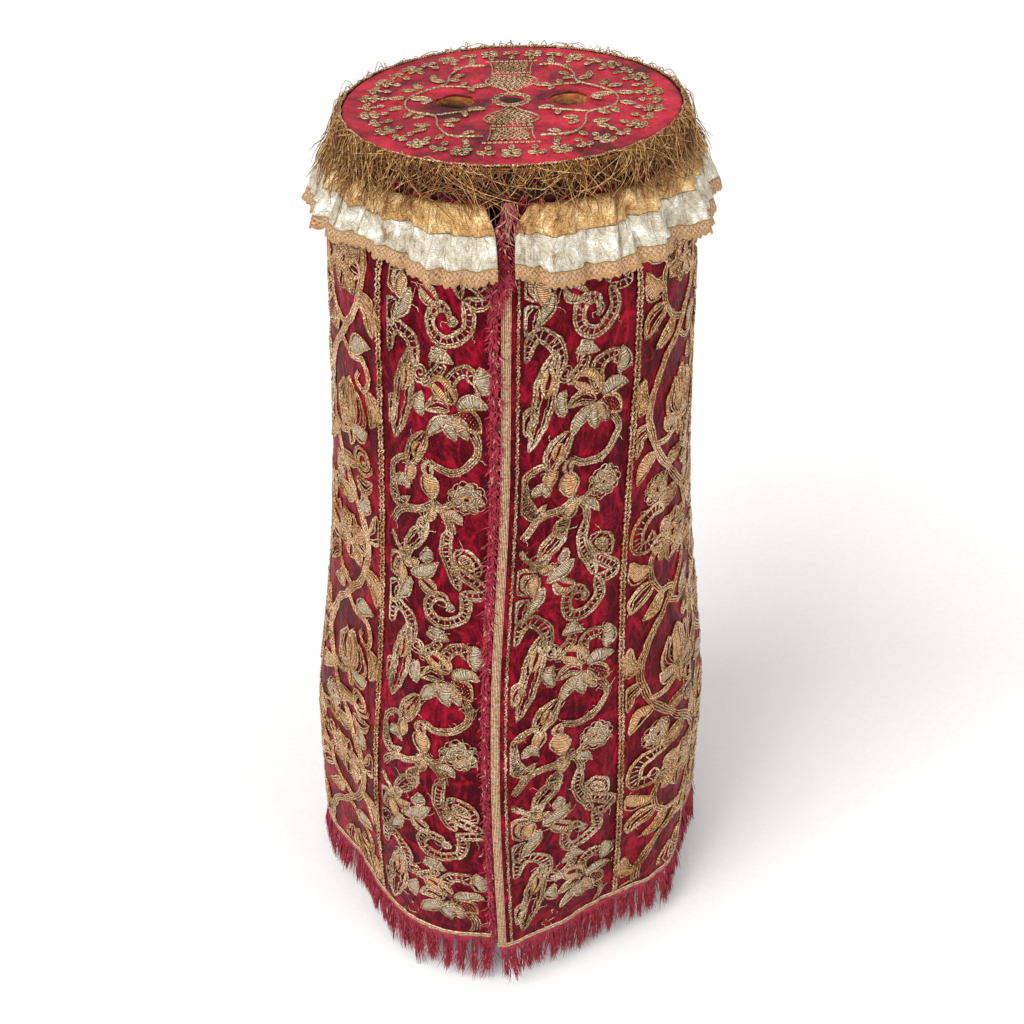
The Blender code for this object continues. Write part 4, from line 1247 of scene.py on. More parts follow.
def loose_threads(design, rng, count, reach):
    """Frayed ends and tie threads that curl from the work's outlines."""
    outlines = [line for line, radius, _, _ in design.cords if radius > 0.8 and len(line) > 9]
    for _ in range(count):
        line = outlines[rng.integers(len(outlines))]
        start = line[rng.integers(len(line))]
        heading = np.cumsum(rng.normal(0, 0.8, 6)) + rng.uniform(0, 6.3)
        steps = np.cumsum(np.exp(1j * heading)) * rng.uniform(0.5, 1.0) * reach / 6
        design.cord(start + np.concatenate(([0], steps)), 0.32, rng.uniform(0.9, 2.2), 3)


def front_embroidery():
    """The dense strips of scrolls, flowers and netted leaves on the two front panels."""
    repeat = arrange(FRONT_FORMS, 1.2, True)
    for name, edge, seam, margin, phase in (
        ("front_right_work", "opening_right", "front_right", 0.020, 0.4),
        ("front_left_work", "opening_left", "front_left", 0.005, 2.1),
    ):
        design = Design()
        for height in FRONT_ROSETTES:
            design.put(repeat, (0 if edge == "opening_right" else 3j) - 1j * height * 1000)
        loose_threads(design, np.random.default_rng(51), 420, 13.0)
        way = 1 if edge == "opening_right" else -1

        def place(line, lift, edge=edge, seam=seam, margin=margin, phase=phase, way=way):
            line = wobble(line, phase)
            z = -line.imag / 1000
            keep = (z < -0.062) & (z > HEM + 0.009)
            z = np.clip(z, HEM + 0.008, -0.05)
            radius = skirt_radius(edge_angle(edge, z), z)
            near, far = edge_angle(edge, z), edge_angle(seam, z)
            if way > 0:
                start, end = np.radians(near) * radius + margin, np.radians(far) * radius - 0.006
            else:
                start, end = np.radians(far) * radius + 0.011, np.radians(near) * radius - margin
            share = np.clip((line.real + 50) / 100, 0, 1)
            angle = np.degrees((start + (end - start) * share) / radius)
            return on_skirt(angle, z, lift / 1000), keep

        worked(name, design, place)


def side_embroidery():
    """The bolder vines of the side panels and the back, in yellower thread, in two or three columns."""
    repeat = arrange(SIDE_FORMS, 1.22, False)
    for name, start_edge, end_edge, columns, phase in (
        ("side_right_work", "front_right", "back_right", 2, 1.2),
        ("back_work", "back_right", "back_left", 3, 2.6),
        ("side_left_work", "back_left", "front_left", 2, 3.9),
    ):
        design = Design()
        for column in range(columns):
            flip = column % 2 == 1 if name != "side_left_work" else column % 2 == 0
            for step in range(-1, 4):
                down = step * SIDE_REPEAT + (SIDE_REPEAT * 0.5 if flip else 0.0) + 20
                design.put(repeat, column * 100 + 1j * down, flip=flip)
        loose_threads(design, np.random.default_rng(61), 260 * columns, 10.0)
        design.change(0, 1)

        def place(line, lift, start_edge=start_edge, end_edge=end_edge, columns=columns, phase=phase):
            line = wobble(line, phase)
            z = -line.imag / 1000
            keep = (z < -0.062) & (z > HEM + 0.009)
            z = np.clip(z, HEM + 0.008, -0.05)
            radius = skirt_radius(edge_angle(start_edge, z), z)
            start = edge_angle(start_edge, z) + np.degrees(0.006 / radius)
            end = edge_angle(end_edge, z) - np.degrees(0.006 / radius)
            share = np.clip((line.real + 50) / (100 * columns), 0, 1)
            return on_skirt(start + (end - start) * share, z, lift / 1000), keep

        worked(name, design, place)


def top_scrollwork():
    """The top's embroidery: two netted bulbs, a vine round each hole, a small ring and a border of sprigs."""
    design = Design()
    down = np.array([14, 19, 25, 31, 38, 45, 51, 55, 60, 68, 76, 84, 91], float)
    half = np.array([0.5, 3, 7, 14, 20.5, 22, 18, 14, 16.5, 16.5, 16.5, 17.5, 19], float)
    for way in (1, -1):
        reach = 1.0 if way > 0 else 1.04
        outline = half + 1j * down * reach * way
        for side in (1, -1):
            edge = np.array([complex(side * p.real, p.imag) for p in outline])
            design.cord(bend(list(edge)), 1.35, 0.6, 3)
        for k, row in enumerate(np.arange(20, 90, 3.4)):
            wide = np.interp(row, down, half) - 2.0
            if wide < 3 or 57 < row < 67:
                continue
            x = np.arange(-wide, wide + 0.1, 2.3)
            zig = np.where((np.arange(len(x)) + k) % 2 == 0, 1.5, -1.5)
            design.cord(x + 1j * (row + zig) * reach * way, 1.05, 0.5, 3)
        for row, count in ((58.5, 8), (64.5, 9)):
            wide = np.interp(row, down, half) - 2
            for x in np.linspace(-wide, wide, count):
                spot = x + 1j * row * reach * way
                design.pad(spot + np.linspace(-1.5, 1.5, 9), np.full(9, 1.6j), 0.9, 0)
        for x in np.linspace(-21, 21, 11):
            spot = x + 1j * 94.5 * reach * way
            design.pad(spot + np.linspace(-1.9, 1.9, 9), 2.4j * np.sin(np.linspace(0.25, 2.9, 9)), 1.1, 0)
        for x in (-12, -4, 5, 12):
            turn = np.linspace(0, 2 * math.pi, 9)
            design.cord(x + 1j * 80 * reach * way + 2.6 * np.exp(1j * turn), 0.9, 0.7, 1)
    vine = Design()
    for _, line, width, _, metal in TOP_VINE:
        vine.cord(bend(line), width * 0.52, 0.8, metal)
    for x, y, turn, length in TOP_LEAVES:
        way = 1.3 * length * np.exp(1j * math.radians(turn))
        at = complex(x, y)
        line = [at - 0.4 * way, at + 0.06j * way, at + 0.5 * way]
        vine.put(outlined(line, 1.3 * length * 0.42, "laid", 0, False))
    design.put(vine)
    design.put(vine, flip=True)
    turn = np.linspace(0, 2 * math.pi, 60)
    slit = np.linspace(-9, 9, 9) + 0j
    # A dark lozenge in the middle, in the dark silk: painted shade standing for the slit's opening
    design.pad(slit, 6.5j * np.sin(np.linspace(0.2, 2.94, 9)), 0.3, 4)
    for reach, wave in ((15.5, 0.8), (11.5, 0.5)):
        design.cord((reach + wave * np.sin(turn * 14)) * np.exp(1j * turn), 1.2, 0.6, 3)
    for k in range(16):
        way = np.exp(2j * math.pi * k / 16)
        design.pad(13.7 * way + 1j * way * np.linspace(-1.8, 1.8, 9), np.full(9, 1.3 * way), 0.9, 0)
    for k in range(38):
        way = np.exp(2j * math.pi * (k + 0.5) / 38)
        tall = 10.5 if k % 2 else 9
        foot, head = (118 + tall) * way, (118 - tall) * way
        lean = 1j * way * (1.6 if k % 3 else -1.6)
        design.cord(bend([foot, 118 * way + lean, head]), 1.1, 0.5, 3)
        for side in (-1, 1):
            for share in (0.25, 0.62) if k % 2 else (0.4,):
                root = foot + (head - foot) * share
                tip = root + 1j * way * side * 7.2 - way * 3.5
                design.put(outlined([root, (root + tip) / 2 + way, tip], 5.0, "laid", 0, False))
        design.put(outlined([head + 2 * way, head - 1.5 * way, head - 5 * way], 4.4, "laid", 0, False))

    def place(line, lift):
        reach = np.abs(line)
        hole = np.minimum(np.abs(line - HOLE_SPACING * 500), np.abs(line + HOLE_SPACING * 500))
        keep = (reach < 134) & (hole > COVER_HOLE_RADIUS * 1000 + 1)
        height = np.full(len(line), SILK_TOP + 0.0001 + lift / 1000)
        return tilted(np.stack((line.real / 1000, -line.imag / 1000, height), -1)), keep

    # Brighter thread than on the panels
    design.change(0, 3, 5)
    worked("top_work", design, place, fine=0.62)


def silk_top():
    """The silk over the board, wrinkled round the holes and turned down at the rim."""
    sizes = bpy.context.scene.mantle_sizes
    bend_radius = 0.0015
    inner, lower = SILK_EDGE - bend_radius, SILK_TOP - bend_radius
    profile = [(0.0, SILK_TOP), (inner, SILK_TOP)]
    for turn in (30, 60, 90):
        lean = math.radians(turn)
        profile.append((inner + bend_radius * math.sin(lean), lower + bend_radius * math.cos(lean)))
    profile.append((SILK_EDGE, COVER_LOWER_EDGE))
    radius, height = np.array(profile).T
    travel = np.concatenate(([0.0], np.cumsum(np.hypot(np.diff(radius), np.diff(height)))))

    def place(across, up):
        along = (1 - up) * travel[-1]
        r, z = np.interp(along, travel, radius), np.interp(along, travel, height)
        points = polar(across * 360, r, z)
        x, y = points[..., 0], points[..., 1]
        wrinkle = np.zeros_like(x)
        for side in (-1, 1):
            near = np.hypot(x - side * HOLE_SPACING / 2, y)
            turn = np.arctan2(y, x - side * HOLE_SPACING / 2)
            drawn = np.exp(-((near - COVER_HOLE_RADIUS) / 0.016) ** 2)
            wrinkle += drawn * np.sin(turn * 9 + side + 3 * np.sin(turn * 2))
        cross = np.abs(np.sin(x * 95 + y * 60 + 2.2 * np.sin(y * 70))) ** 6
        cross = cross + np.abs(np.sin(x * 52 - y * 88 + 2 * np.sin(x * 60))) ** 7
        flat = np.clip((0.1375 - r) / 0.01, 0, 1)
        points[..., 2] += flat * (0.00035 * wrinkle + 0.0006 * cross - 0.0003)
        return tilted(points)

    size = (2000 * math.pi * SILK_EDGE, travel[-1] * 1000)
    mesh = laid("silk_top", 120, 56, place, size, ring=True)
    cover = shown("silk_top", mesh, ["silk"], ["top_cover"])
    thicken(cover, sizes.silk_thickness, False)
    cutters = []
    for side in (-1, 1):
        bm = bmesh.new()
        radii = dict(radius1=COVER_HOLE_RADIUS, radius2=COVER_HOLE_RADIUS)
        bmesh.ops.create_cone(bm, cap_ends=True, segments=40, depth=0.06, **radii)
        bmesh.ops.translate(bm, verts=bm.verts, vec=(side * HOLE_SPACING / 2, 0, 0))
        mesh = bpy.data.meshes.new("hole")
        bm.to_mesh(mesh)
        bm.free()
        cutter = bpy.data.objects.new(f"hole_{side}", mesh)
        cutter.rotation_euler.y = -math.atan(TILT)
        bpy.context.scene.collection.objects.link(cutter)
        hole = cover.modifiers.new("hole", "BOOLEAN")
        hole.operation = "DIFFERENCE"
        hole.object = cutter
        cutters.append(cutter)
    baked(cover)
    for cutter in cutters:
        bpy.data.objects.remove(cutter)
    cover.data.shade_smooth()
    cover.data.set_sharp_from_angle(angle=math.radians(50))


def rim_twist():
    """Two gilt threads twisted together and laid along the top's edge."""
    turns, steps = 170, 5
    t = np.arange(turns * steps + 1) / (turns * steps)
    wobble = 0.0004 * np.sin(t * 2 * math.pi * 31) + 0.0003 * np.sin(t * 2 * math.pi * 53 + 1)
    lines = []
    for phase in (0, math.pi):
        twist = t * turns * 2 * math.pi + phase
        radius = SILK_EDGE + 0.0012 + wobble + 0.0005 * np.cos(twist)
        points = polar(t * 360, radius, NECK_TOP + 0.0014 + 0.0005 * np.sin(twist))
        lines.append((tilted(points), taper(len(t), 0.00062), 0))
    tubes("rim_twist", lines, ["yellow_gilt"], ["rim_cord"])


def neck_tufts():
    """The tufted braid round the neck: short silk threads of several colours on a dark ground."""
    rng = np.random.default_rng(5)

    def band(across, up):
        z = NECK_BOTTOM + (NECK_TOP - NECK_BOTTOM) * up
        out = NECK_FLARE * np.clip((NECK_KNEE - z) / (NECK_KNEE - NECK_BOTTOM), 0, 1)
        return tilted(polar(across * 360, NECK_INNER + out + 0.0012 * np.sin(up * math.pi), z))

    mesh = laid("neck_ground", 144, 8, band, ring=True)
    ground = shown("neck_ground", mesh, ["dark_tufts"], ["neck_band"])
    thicken(ground, 0.0012, False)
    lines = []
    count = 1500
    angle = rng.uniform(0, 360, count)
    height = rng.uniform(NECK_BOTTOM - 0.002, NECK_TOP - 0.003, count)
    which = rng.choice([0, 1, 2], count, p=[0.42, 0.46, 0.12])
    for k in range(count):
        low = height[k] < NECK_BOTTOM + 0.004
        colour = 1 if low and which[k] == 0 and rng.random() < 0.6 else which[k]
        t = np.linspace(0, 1, 4)
        out = NECK_FLARE * np.clip((NECK_KNEE - height[k]) / (NECK_KNEE - NECK_BOTTOM), 0, 1)
        reach = rng.uniform(0.0025, 0.0050)
        radius = NECK_INNER + out + reach * np.sin(t * 1.4)
        turn = angle[k] + rng.normal(0, 1.3) * t
        z = height[k] + 0.0012 * np.sin(t * 3) - reach * t**2 * rng.uniform(0.2, 1.0)
        lines.append((tilted(polar(turn, radius, z)), taper(4, rng.uniform(0.0004, 0.0007), 1, 0), colour))
    tubes("neck_tufts", lines, ["dark_tufts", "floss", "orange_tufts"])


def rim_wires():
    """The metal fringe: gilt wires that hang in a tangle from the rim over the neck and the flounce."""
    sizes = bpy.context.scene.mantle_sizes
    rng = np.random.default_rng(11)
    lines = []
    t = np.linspace(0, 1, 9)
    while len(lines) < sizes.rim_wires:
        root = rng.uniform(0, 360)
        if rng.random() > round_table(RIM_SHARES, root):
            continue
        length = round_table(RIM_LENGTHS, root) * rng.choice([rng.uniform(0.35, 0.8), rng.uniform(0.8, 1.2)])
        swing = rng.normal(0, 10.0) * t ** rng.uniform(0.8, 1.8)
        curl = rng.uniform(0.6, 3.4) * np.sin(t * rng.uniform(2, 7) + rng.uniform(0, 6)) * t
        angle = root + (swing + curl)
        fall = length * t ** rng.uniform(0.8, 1.3)
        z = NECK_TOP + 0.001 - fall + 0.0022 * np.sin(t * rng.uniform(3, 8) + rng.uniform(0, 6)) * t
        lift = rng.uniform(0.0003, 0.0060) * np.sin(t * rng.uniform(1.4, 3.0)) + 0.0006
        if rng.random() < (0.3 if 30 < root < 330 else 0.1):
            z += 0.010 * rng.random() * np.sin(math.pi * np.minimum(t * 1.6, 1))
            lift += 0.008 * rng.random() * t
        radius = rim_surface(angle, z) + np.abs(lift)
        radius[0] = NECK_INNER + 0.0015
        thin = taper(9, sizes.wire_thickness * rng.uniform(0.4, 0.65), 1, 0.3)
        lines.append((tilted(polar(angle, radius, z)), thin, int(rng.random() < 0.42)))
    heading = []
    for _ in range(300):
        t = np.linspace(0, 1, 5)
        angle = rng.uniform(0, 360) + rng.normal(0, 5) * t
        z = NECK_TOP - rng.uniform(0.003, 0.013) * np.sin(t * rng.uniform(1.6, 3.0))
        radius = rim_surface(angle, z) + rng.uniform(0.001, 0.005) * np.sin(t * 3) + 0.0006
        thin = taper(5, sizes.wire_thickness * 0.6, 1, 0.5)
        heading.append((tilted(polar(angle, radius, z)), thin, int(rng.random() < 0.6)))
    s = np.arange(0, 361, 1.0)
    for height, radius in ((0.0118, 0.1427), (0.0104, 0.1431), (0.0092, 0.1428)):
        wave = 0.0003 * np.sin(np.radians(s) * 90 + height * 9000)
        heading.append((tilted(polar(s, radius + wave, height + wave)), taper(len(s), 0.00075), 0))
    tubes("rim_wires", lines + heading, ["wire", "light_wire"], ["top_fringe"])


def flounce_bands():
    """The gathered flounce: cloth of gold, cloth of silver and lace, sewn edge to edge."""
    finishes = dict(flounce_gold="gold_cloth", flounce_silver="silver_cloth", flounce_lace="lace")
    for name, top, bottom in FLOUNCE_BANDS:
        lace = name == "flounce_lace"

        def place(across, up, top=top, bottom=bottom, lace=lace):
            z = bottom + (top - bottom) * up
            left = smooth(FLOUNCE_SPLIT_LEFT, z)
            right = smooth(FLOUNCE_SPLIT_RIGHT, z)
            angle = right + (left - right) * across
            low = flounce_height(angle, z)
            if lace:
                tooth = np.abs(np.sin(np.radians(angle) * 88 + np.sin(np.radians(angle) * 7)))
                low = low - (1 - up) ** 2 * (0.0042 * tooth**0.7 - 0.0015)
            radius = flounce_radius(angle, z) + FLOUNCE_CLOTH + flounce_gathers(angle, z)
            ruck = 0.0008 * np.sin(np.radians(angle) * 29 + np.sin(np.radians(angle) * 13))
            return hang(polar(angle, radius, low + ruck * (0.0145 + z) / -0.05))

        rows = 5 if lace else 9
        size = (FLOUNCE_LENGTH * 1000, (top - bottom) * 1000)
        mesh = laid(name + "_cloth", 640 if lace else 480, rows, place, size)
        piece = shown(name + "_cloth", mesh, [finishes[name]], [name])
        thicken(piece, 0.0010, False)
    for name, top, bottom in FLOUNCE_BANDS[:2]:
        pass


def panel_angle(across, z, left, right):
    """The angle at a share of the way across a panel, from its left edge to its right one."""
    start, end = edge_angle(left, z), edge_angle(right, z)
    return start + (end - start) * across


def panel_arc(left, right, z, radius):
    """How wide a panel is at a height."""
    return math.radians(edge_angle(right, z) - edge_angle(left, z)) * radius


def velvet_panels():
    """The five panels of crushed velvet, each its own sheet on the folds of its solid."""
    sizes = bpy.context.scene.mantle_sizes
    for name, left, right, columns in PANELS:

        def place(across, up, left=left, right=right):
            z = HEM + (SKIRT_TOP - HEM) * up
            return on_skirt(panel_angle(across, z, left, right), z)

        foot = panel_arc(left, right, HEM, CUT_HEM_RADIUS)
        width = (foot + panel_arc(left, right, SKIRT_TOP, CUT_NECK_RADIUS)) / 2
        mesh = laid(name + "_velvet", columns, 104, place, (width * 1000, CUT_HEIGHT * 1000))
        piece = shown(name + "_velvet", mesh, ["velvet"], [name])
        thicken(piece, sizes.velvet_thickness, False)


def along_edge(edge, offset, heights):
    """The angle of a line sewn beside an edge, at each height."""
    start = edge_angle(edge, heights)
    return start + np.degrees(offset / skirt_radius(start, heights))


def opening_braid():
    """The galloon on the right panel's edge: a woven strip with cross ribs and a raised middle."""
    width, top, bottom, ribs, relief = 0.0086, -0.060, HEM + 0.002, 190, 0.0015

    def place(across, up):
        z = bottom + (top - bottom) * up
        angle = along_edge("opening_right", 0.0052, z)
        angle = angle + np.degrees(width * (across - 0.5) / skirt_radius(angle, z))
        side = np.abs(across - 0.5) * 2
        rib = 0.5 + 0.5 * np.cos(up * ribs * 2 * math.pi)
        out = 0.0004 + relief * (np.exp(-((side / 0.35) ** 2)) * 0.7 + 0.35 * (side > 0.7)) + 0.0005 * rib
        out = np.where((across < 0.01) | (across > 0.99), -0.0003, out)
        return on_skirt(angle, z, out)

    mesh = laid("opening_braid", 8, ribs * 3, place, (width * 1000, (top - bottom) * 1000))
    shown("opening_braid", mesh, ["galloon"], ["opening_galloon"])


def seam_braids():
    """The four narrow knotted braids over the seams."""
    rng = np.random.default_rng(21)
    for edge in ("front_right", "back_right", "back_left", "front_left"):
        lines = []
        z = np.arange(-0.058, HEM + 0.007, -0.0016)
        for phase, wide, across, radius, which in (
            (0, 0.0006, -0.0021, 0.0009, 0), (1.8, 0.0006, 0.0021, 0.0009, 0), (0.6, 0.0022, 0.0, 0.0006, 1),
        ):
            wave = across + wide * np.sin(z * 2 * math.pi / 0.0062 + phase) + rng.normal(0, 0.0003, len(z))
            lift = 0.0011 + 0.0005 * np.cos(z * 2 * math.pi / 0.0062 + phase)
            angle = edge_angle(edge, z) + np.degrees(wave / skirt_radius(edge_angle(edge, z), z))
            bead = radius * (1 + 0.45 * np.sin(z * 2 * math.pi / 0.0041 + phase))
            bead[0] = bead[-1] = 0
            lines.append((on_skirt(angle, z, lift), bead, which))
        node = "seam_braid_" + edge
        tubes(node + "_cords", lines, ["yellow_gilt", "silver_gilt"], [node])


def opening_trims():
    """The couched line beside the right panel's galloon, and the crimson tufted strip on the left's edge."""
    z = np.arange(-0.040, HEM + 0.007, -0.0016)
    rng = np.random.default_rng(31)
    lines = []
    for phase in (0, math.pi):
        angle = along_edge("opening_right", 0.0150, z)
        wave = 0.0009 * np.sin(z * 2 * math.pi / 0.007 + phase) + rng.normal(0, 0.0004, len(z))
        angle = angle + np.degrees(wave / skirt_radius(angle, z))
        bead = 0.0007 * (1 + 0.35 * np.sin(z * 2 * math.pi / 0.0035 + phase))
        bead[0] = bead[-1] = 0
        lines.append((on_skirt(angle, z, 0.0010 + 0.0005 * np.cos(z * 2 * math.pi / 0.007 + phase)), bead, 0))
    tubes("opening_couched_line", lines, ["silver_gilt"], ["opening_couching"])
    lines = []
    for k in range(3000):
        gap = k % 5 == 0
        height = rng.uniform(-0.100, -0.030) if gap else rng.uniform(HEM + 0.006, -0.026)
        if gap:
            side = rng.normal(0.0080, 0.0035) * np.clip((height + 0.1) / 0.03, 0, 1)
        else:
            side = rng.normal(-0.0002, 0.0021)
        t = np.linspace(0, 1, 3)
        base = along_edge("opening_left", -0.0030 + side, np.full(3, height))
        reach = rng.uniform(0.0018, 0.0048)
        angle = base + np.degrees((rng.normal(0.0008, 0.0030) * t + 0.0008 * np.sin(t * 9 + k)) / 0.18)
        proud = 0.0008 + 0.007 * np.clip((height + 0.100) / 0.06, 0, 1)
        drop = height - reach * 0.8 * t**2 + rng.normal(0, 0.0016) * t
        points = on_skirt(angle, drop, proud + reach * np.sin(t * 1.9))
        which = 1 if rng.random() < (0.5 if height > -0.045 else 0.07) else 0
        lines.append((points, np.array([0.9, 1, 0.3]) * rng.uniform(0.0005, 0.0008), which))
    for k in range(46):
        t = np.linspace(0, 1, 7)
        angle = 359.2 + rng.normal(0, 0.8) + rng.normal(0, 2.4) * t
        angle = angle + 1.2 * np.sin(t * rng.uniform(3, 9) + k) * t
        z = -0.012 - rng.uniform(0.012, 0.030) * t
        radius = skirt_radius(angle, z) + 0.006 + rng.uniform(0.002, 0.009) * np.sin(t * 2.2)
        lines.append((hang(polar(angle, radius, z)), taper(7, 0.0004, 1, 0.2), 1 if k % 3 else 0))
    z = np.arange(-0.040, HEM + 0.006, -0.004)
    for offset in (-0.0060, -0.0040, -0.0020):
        angle = along_edge("opening_left", offset, z)
        lines.append((on_skirt(angle, z, 0.0009), taper(len(z), 0.0012), 0))
    tubes("opening_tufted_strip", lines, ["floss", "pale_floss"], ["opening_tufts"])


def hem_galloons():
    """The narrow galloon along the hem of each panel."""
    for panel, left, right, _ in PANELS:
        width = panel_arc(left, right, HEM, HEM_MEAN_RADIUS)
        ribs = int(width / 0.0030)

        def place(across, up, left=left, right=right, ribs=ribs):
            z = HEM + 0.0005 + 0.0062 * up
            angle = panel_angle(across, HEM, left, right)
            side = np.abs(up - 0.5) * 2
            rib = 0.5 + 0.5 * np.cos(across * ribs * 2 * math.pi)
            out = 0.0005 + 0.0008 * (1 - side**2) + 0.0005 * rib
            out = np.where((up < 0.01) | (up > 0.99), -0.0003, out)
            return on_skirt(angle, z, out)

        name = "hem_braid_" + panel
        mesh = laid(name, ribs * 3, 4, place, (width * 1000, 6))
        shown(name, mesh, ["hem_galloon"], ["hem_galloon_" + panel])


def hem_floss():
    """The silk fringe: loose strands in uneven locks on a narrow heading under the hem."""
    sizes = bpy.context.scene.mantle_sizes
    rng = np.random.default_rng(41)
    start, end = edge_angle("opening_right", HEM) + 0.3, edge_angle("opening_left", HEM) - 0.3
    top = HEM - HEM_HEADING_GAP
    bottom = top - HEM_HEADING_HEIGHT
    lines = []
    t = np.linspace(0, 1, 5)
    locks = sizes.hem_locks
    for lock in range(locks):
        middle = start + (end - start) * (lock + 0.5 + rng.uniform(-0.3, 0.3)) / locks
        tip = middle + rng.normal(0, 1.5)
        length = 0.048 * rng.uniform(0.78, 1.16)
        out_tip = rng.uniform(0.001, 0.009)
        for _ in range(26):
            root = middle + rng.uniform(-0.62, 0.62) * (end - start) / locks
            loose = rng.random() < 0.34
            goal = tip + rng.normal(0, 0.6 if not loose else 2.4)
            angle = root + (goal - root) * t**1.15
            angle = angle + 0.25 * np.sin(t * rng.uniform(3, 9) + rng.uniform(0, 6)) * t
            reach = length * rng.uniform(0.78, 1.06)
            z = bottom + 0.003 - (reach + 0.003) * t
            radius = skirt_radius(angle % 360 if middle > 300 else angle, HEM) - 0.001
            lift = out_tip * t**1.3 + rng.normal(0, 0.0011) * np.sin(t * 3.1) + rng.normal(0, 0.0012) * t
            thin = taper(5, sizes.floss_thickness / 2, 1, 0.15)
            lines.append((hang(polar(angle, radius + lift, z)), thin, 0))
    s = np.arange(start, end, 1.2)
    for height in (0.0008, 0.0020, 0.0032):
        wave = 0.0003 * np.sin(np.radians(s) * 97 + height * 5000)
        points = hang(polar(s, skirt_radius(s, HEM) - 0.0008 + wave, top - height))
        lines.append((points, taper(len(s), 0.0010), 0))
    tubes("hem_floss", lines, ["floss"], ["hem_fringe"])


def board_wood():
    """The board keeps its solid and gets its wood."""
    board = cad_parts["top_board"]
    board.data.materials.clear()
    board.data.materials.append(material("wood"))


def light(name, kind, place, target, size, power):
    """A soft studio light that faces a point: a square panel, or a far source as wide as an angle."""
    lamp = bpy.data.lights.new(name, kind)
    if kind == "SUN":
        lamp.angle = size
    else:
        lamp.size = size
    lamp.energy = power
    holder = bpy.data.objects.new(name, lamp)
    holder.location = place
    holder.rotation_euler = (Vector(target) - Vector(place)).to_track_quat("-Z", "Y").to_euler()
    bpy.context.scene.collection.objects.link(holder)


def stage():
    """A plain pale floor just under the fringe, soft studio lights and the camera."""
    scene = bpy.context.scene
    bm = bmesh.new()
    bmesh.ops.create_grid(bm, x_segments=1, y_segments=1, size=15.0)
    bmesh.ops.translate(bm, verts=bm.verts, vec=(0, 0, CAD_BOX[0][2] - 0.001))
    mesh = bpy.data.meshes.new("floor")
    bm.to_mesh(mesh)
    bm.free()
    floor = bpy.data.objects.new("floor", mesh)
    scene.collection.objects.link(floor)
    mesh.materials.append(material("floor"))
    floor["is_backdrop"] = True
    world = bpy.data.worlds.new("studio")
    world.use_nodes = True
    world.node_tree.nodes["Background"].inputs["Color"].default_value = (1, 1, 1, 1)
    world.node_tree.nodes["Background"].inputs["Strength"].default_value = 0.6
    scene.world = world
    light("key", "SUN", (-1.7, -1.3, 1.7), (0, 0, -0.3), math.radians(38), 2.0)
    light("fill", "AREA", (1.9, -1.7, 0.6), (0, 0, -0.4), 1.2, 18)
    light("front", "AREA", (-0.9, -2.2, 1.0), (0, 0, -0.4), 0.8, 14)
    # A focal length of 1400 pixels in a frame of 1024, on Blender's sensor of 36 mm, looking down on the top
    data = bpy.data.cameras.new("camera")
    data.lens = 1400 / 1024 * 36
    camera = bpy.data.objects.new("camera", data)
    camera.location = (0, -1.1328, 0.4116)
    camera.rotation_euler = (math.radians(90 - 35.74), 0, 0)
    scene.collection.objects.link(camera)
    scene.camera = camera
    scene.view_settings.view_transform = "Standard"


class MANTLE_OT_board(bpy.types.Operator):
    """Gives the round board its wood."""

    bl_idname = "mantle.board"
    bl_label = "Board"

    def execute(self, context):
        board_wood()
        return {"FINISHED"}


class MANTLE_OT_silk_top(bpy.types.Operator):
    """Stretches the silk over the board and works its embroidery."""

    bl_idname = "mantle.silk_top"
    bl_label = "Silk top"

    def execute(self, context):
        silk_top()
        top_scrollwork()
        return {"FINISHED"}


class MANTLE_OT_rim(bpy.types.Operator):
    """Lays the gilt twist and the tufted braid round the rim."""

    bl_idname = "mantle.rim"
    bl_label = "Rim"

    def execute(self, context):
        rim_twist()
        neck_tufts()
        return {"FINISHED"}


class MANTLE_OT_rim_wires(bpy.types.Operator):
    """Hangs the gilt wire fringe from the rim."""

    bl_idname = "mantle.rim_wires"
    bl_label = "Rim wires"

    def execute(self, context):
        rim_wires()
        return {"FINISHED"}


class MANTLE_OT_flounce(bpy.types.Operator):
    """Gathers the flounce of gold cloth, silver cloth and lace."""

    bl_idname = "mantle.flounce"
    bl_label = "Flounce"

    def execute(self, context):
        flounce_bands()
        return {"FINISHED"}


class MANTLE_OT_velvet(bpy.types.Operator):
    """Hangs the five panels of crushed velvet."""

    bl_idname = "mantle.velvet"
    bl_label = "Velvet panels"

    def execute(self, context):
        velvet_panels()
        return {"FINISHED"}


class MANTLE_OT_front_work(bpy.types.Operator):
    """Sews the scrolls and flowers on the two front panels."""

    bl_idname = "mantle.front_work"
    bl_label = "Front embroidery"

    def execute(self, context):
        front_embroidery()
        return {"FINISHED"}


class MANTLE_OT_side_work(bpy.types.Operator):
    """Sews the vines on the side panels and the back."""

    bl_idname = "mantle.side_work"
    bl_label = "Side and back embroidery"

    def execute(self, context):
        side_embroidery()
        return {"FINISHED"}


class MANTLE_OT_seams(bpy.types.Operator):
    """Lays the knotted braids over the four seams."""

    bl_idname = "mantle.seams"
    bl_label = "Seam braids"

    def execute(self, context):
        seam_braids()
        return {"FINISHED"}


class MANTLE_OT_opening(bpy.types.Operator):
    """Sews the galloon, the couched line and the tufted strip at the opening."""

    bl_idname = "mantle.opening"
    bl_label = "Opening trims"

    def execute(self, context):
        opening_braid()
        opening_trims()
        return {"FINISHED"}


class MANTLE_OT_hem(bpy.types.Operator):
    """Sews the galloon and the silk fringe round the hem."""

    bl_idname = "mantle.hem"
    bl_label = "Hem galloon and fringe"

    def execute(self, context):
        hem_galloons()
        hem_floss()
        return {"FINISHED"}


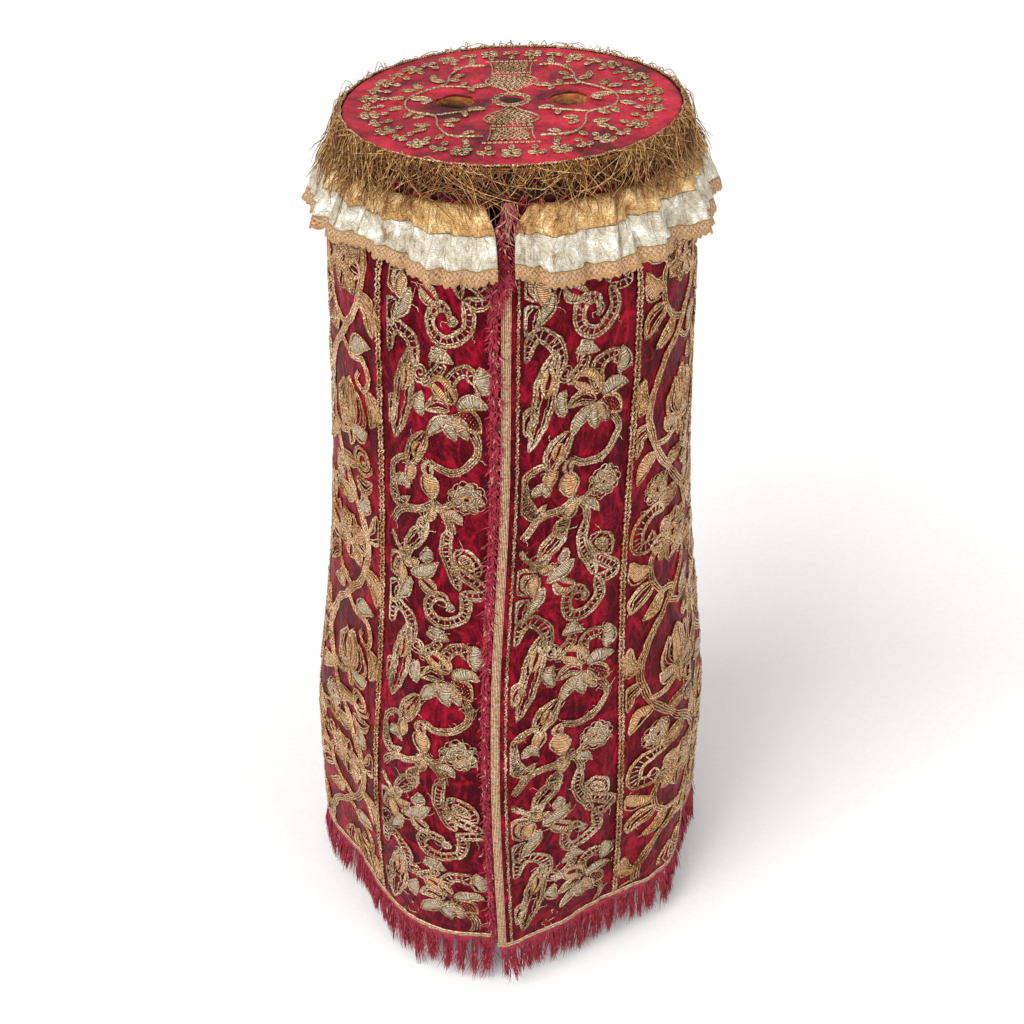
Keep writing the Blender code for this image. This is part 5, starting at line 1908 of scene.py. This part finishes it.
class MANTLE_OT_stage(bpy.types.Operator):
    """Sets the pale floor, the studio lights and the camera."""

    bl_idname = "mantle.stage"
    bl_label = "Stage"

    def execute(self, context):
        stage()
        return {"FINISHED"}


class MANTLE_PT_pieces(bpy.types.Panel):
    """Lists the mantle's pieces and the settings that they are made from."""

    bl_idname = "MANTLE_PT_pieces"
    bl_label = "Torah mantle"
    bl_space_type = "VIEW_3D"
    bl_region_type = "UI"
    bl_category = "Mantle"

    def draw(self, context):
        for piece in PIECES:
            self.layout.operator(piece.bl_idname)
        for settings in (context.scene.mantle_sizes, context.scene.mantle_colours):
            for name in settings.bl_rna.properties.keys():
                if name not in ("rna_type", "name"):
                    self.layout.prop(settings, name)


# In the order in which they are made
PIECES = (
    MANTLE_OT_board,
    MANTLE_OT_silk_top,
    MANTLE_OT_rim,
    MANTLE_OT_rim_wires,
    MANTLE_OT_flounce,
    MANTLE_OT_velvet,
    MANTLE_OT_front_work,
    MANTLE_OT_side_work,
    MANTLE_OT_seams,
    MANTLE_OT_opening,
    MANTLE_OT_hem,
    MANTLE_OT_stage,
)


def register():
    """Registers the settings, the operators and the panel."""
    for item in (MANTLE_PG_colours, MANTLE_PG_sizes, *PIECES, MANTLE_PT_pieces):
        bpy.utils.register_class(item)
    bpy.types.Scene.mantle_colours = bpy.props.PointerProperty(type=MANTLE_PG_colours)
    bpy.types.Scene.mantle_sizes = bpy.props.PointerProperty(type=MANTLE_PG_sizes)


def unregister():
    """Takes them out again."""
    del bpy.types.Scene.mantle_sizes
    del bpy.types.Scene.mantle_colours
    for item in (MANTLE_PT_pieces, *reversed(PIECES), MANTLE_PG_sizes, MANTLE_PG_colours):
        bpy.utils.unregister_class(item)


def main():
    """Makes each piece in order."""
    register()
    for piece in PIECES:
        getattr(bpy.ops.mantle, piece.bl_idname.split(".")[1])()
    boxes = dict(cad=[list(map(float, corner)) for corner in CAD_BOX])
    boxes["scene"] = [list(map(float, corner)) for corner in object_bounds()]


if __name__ == "__main__":
    main()
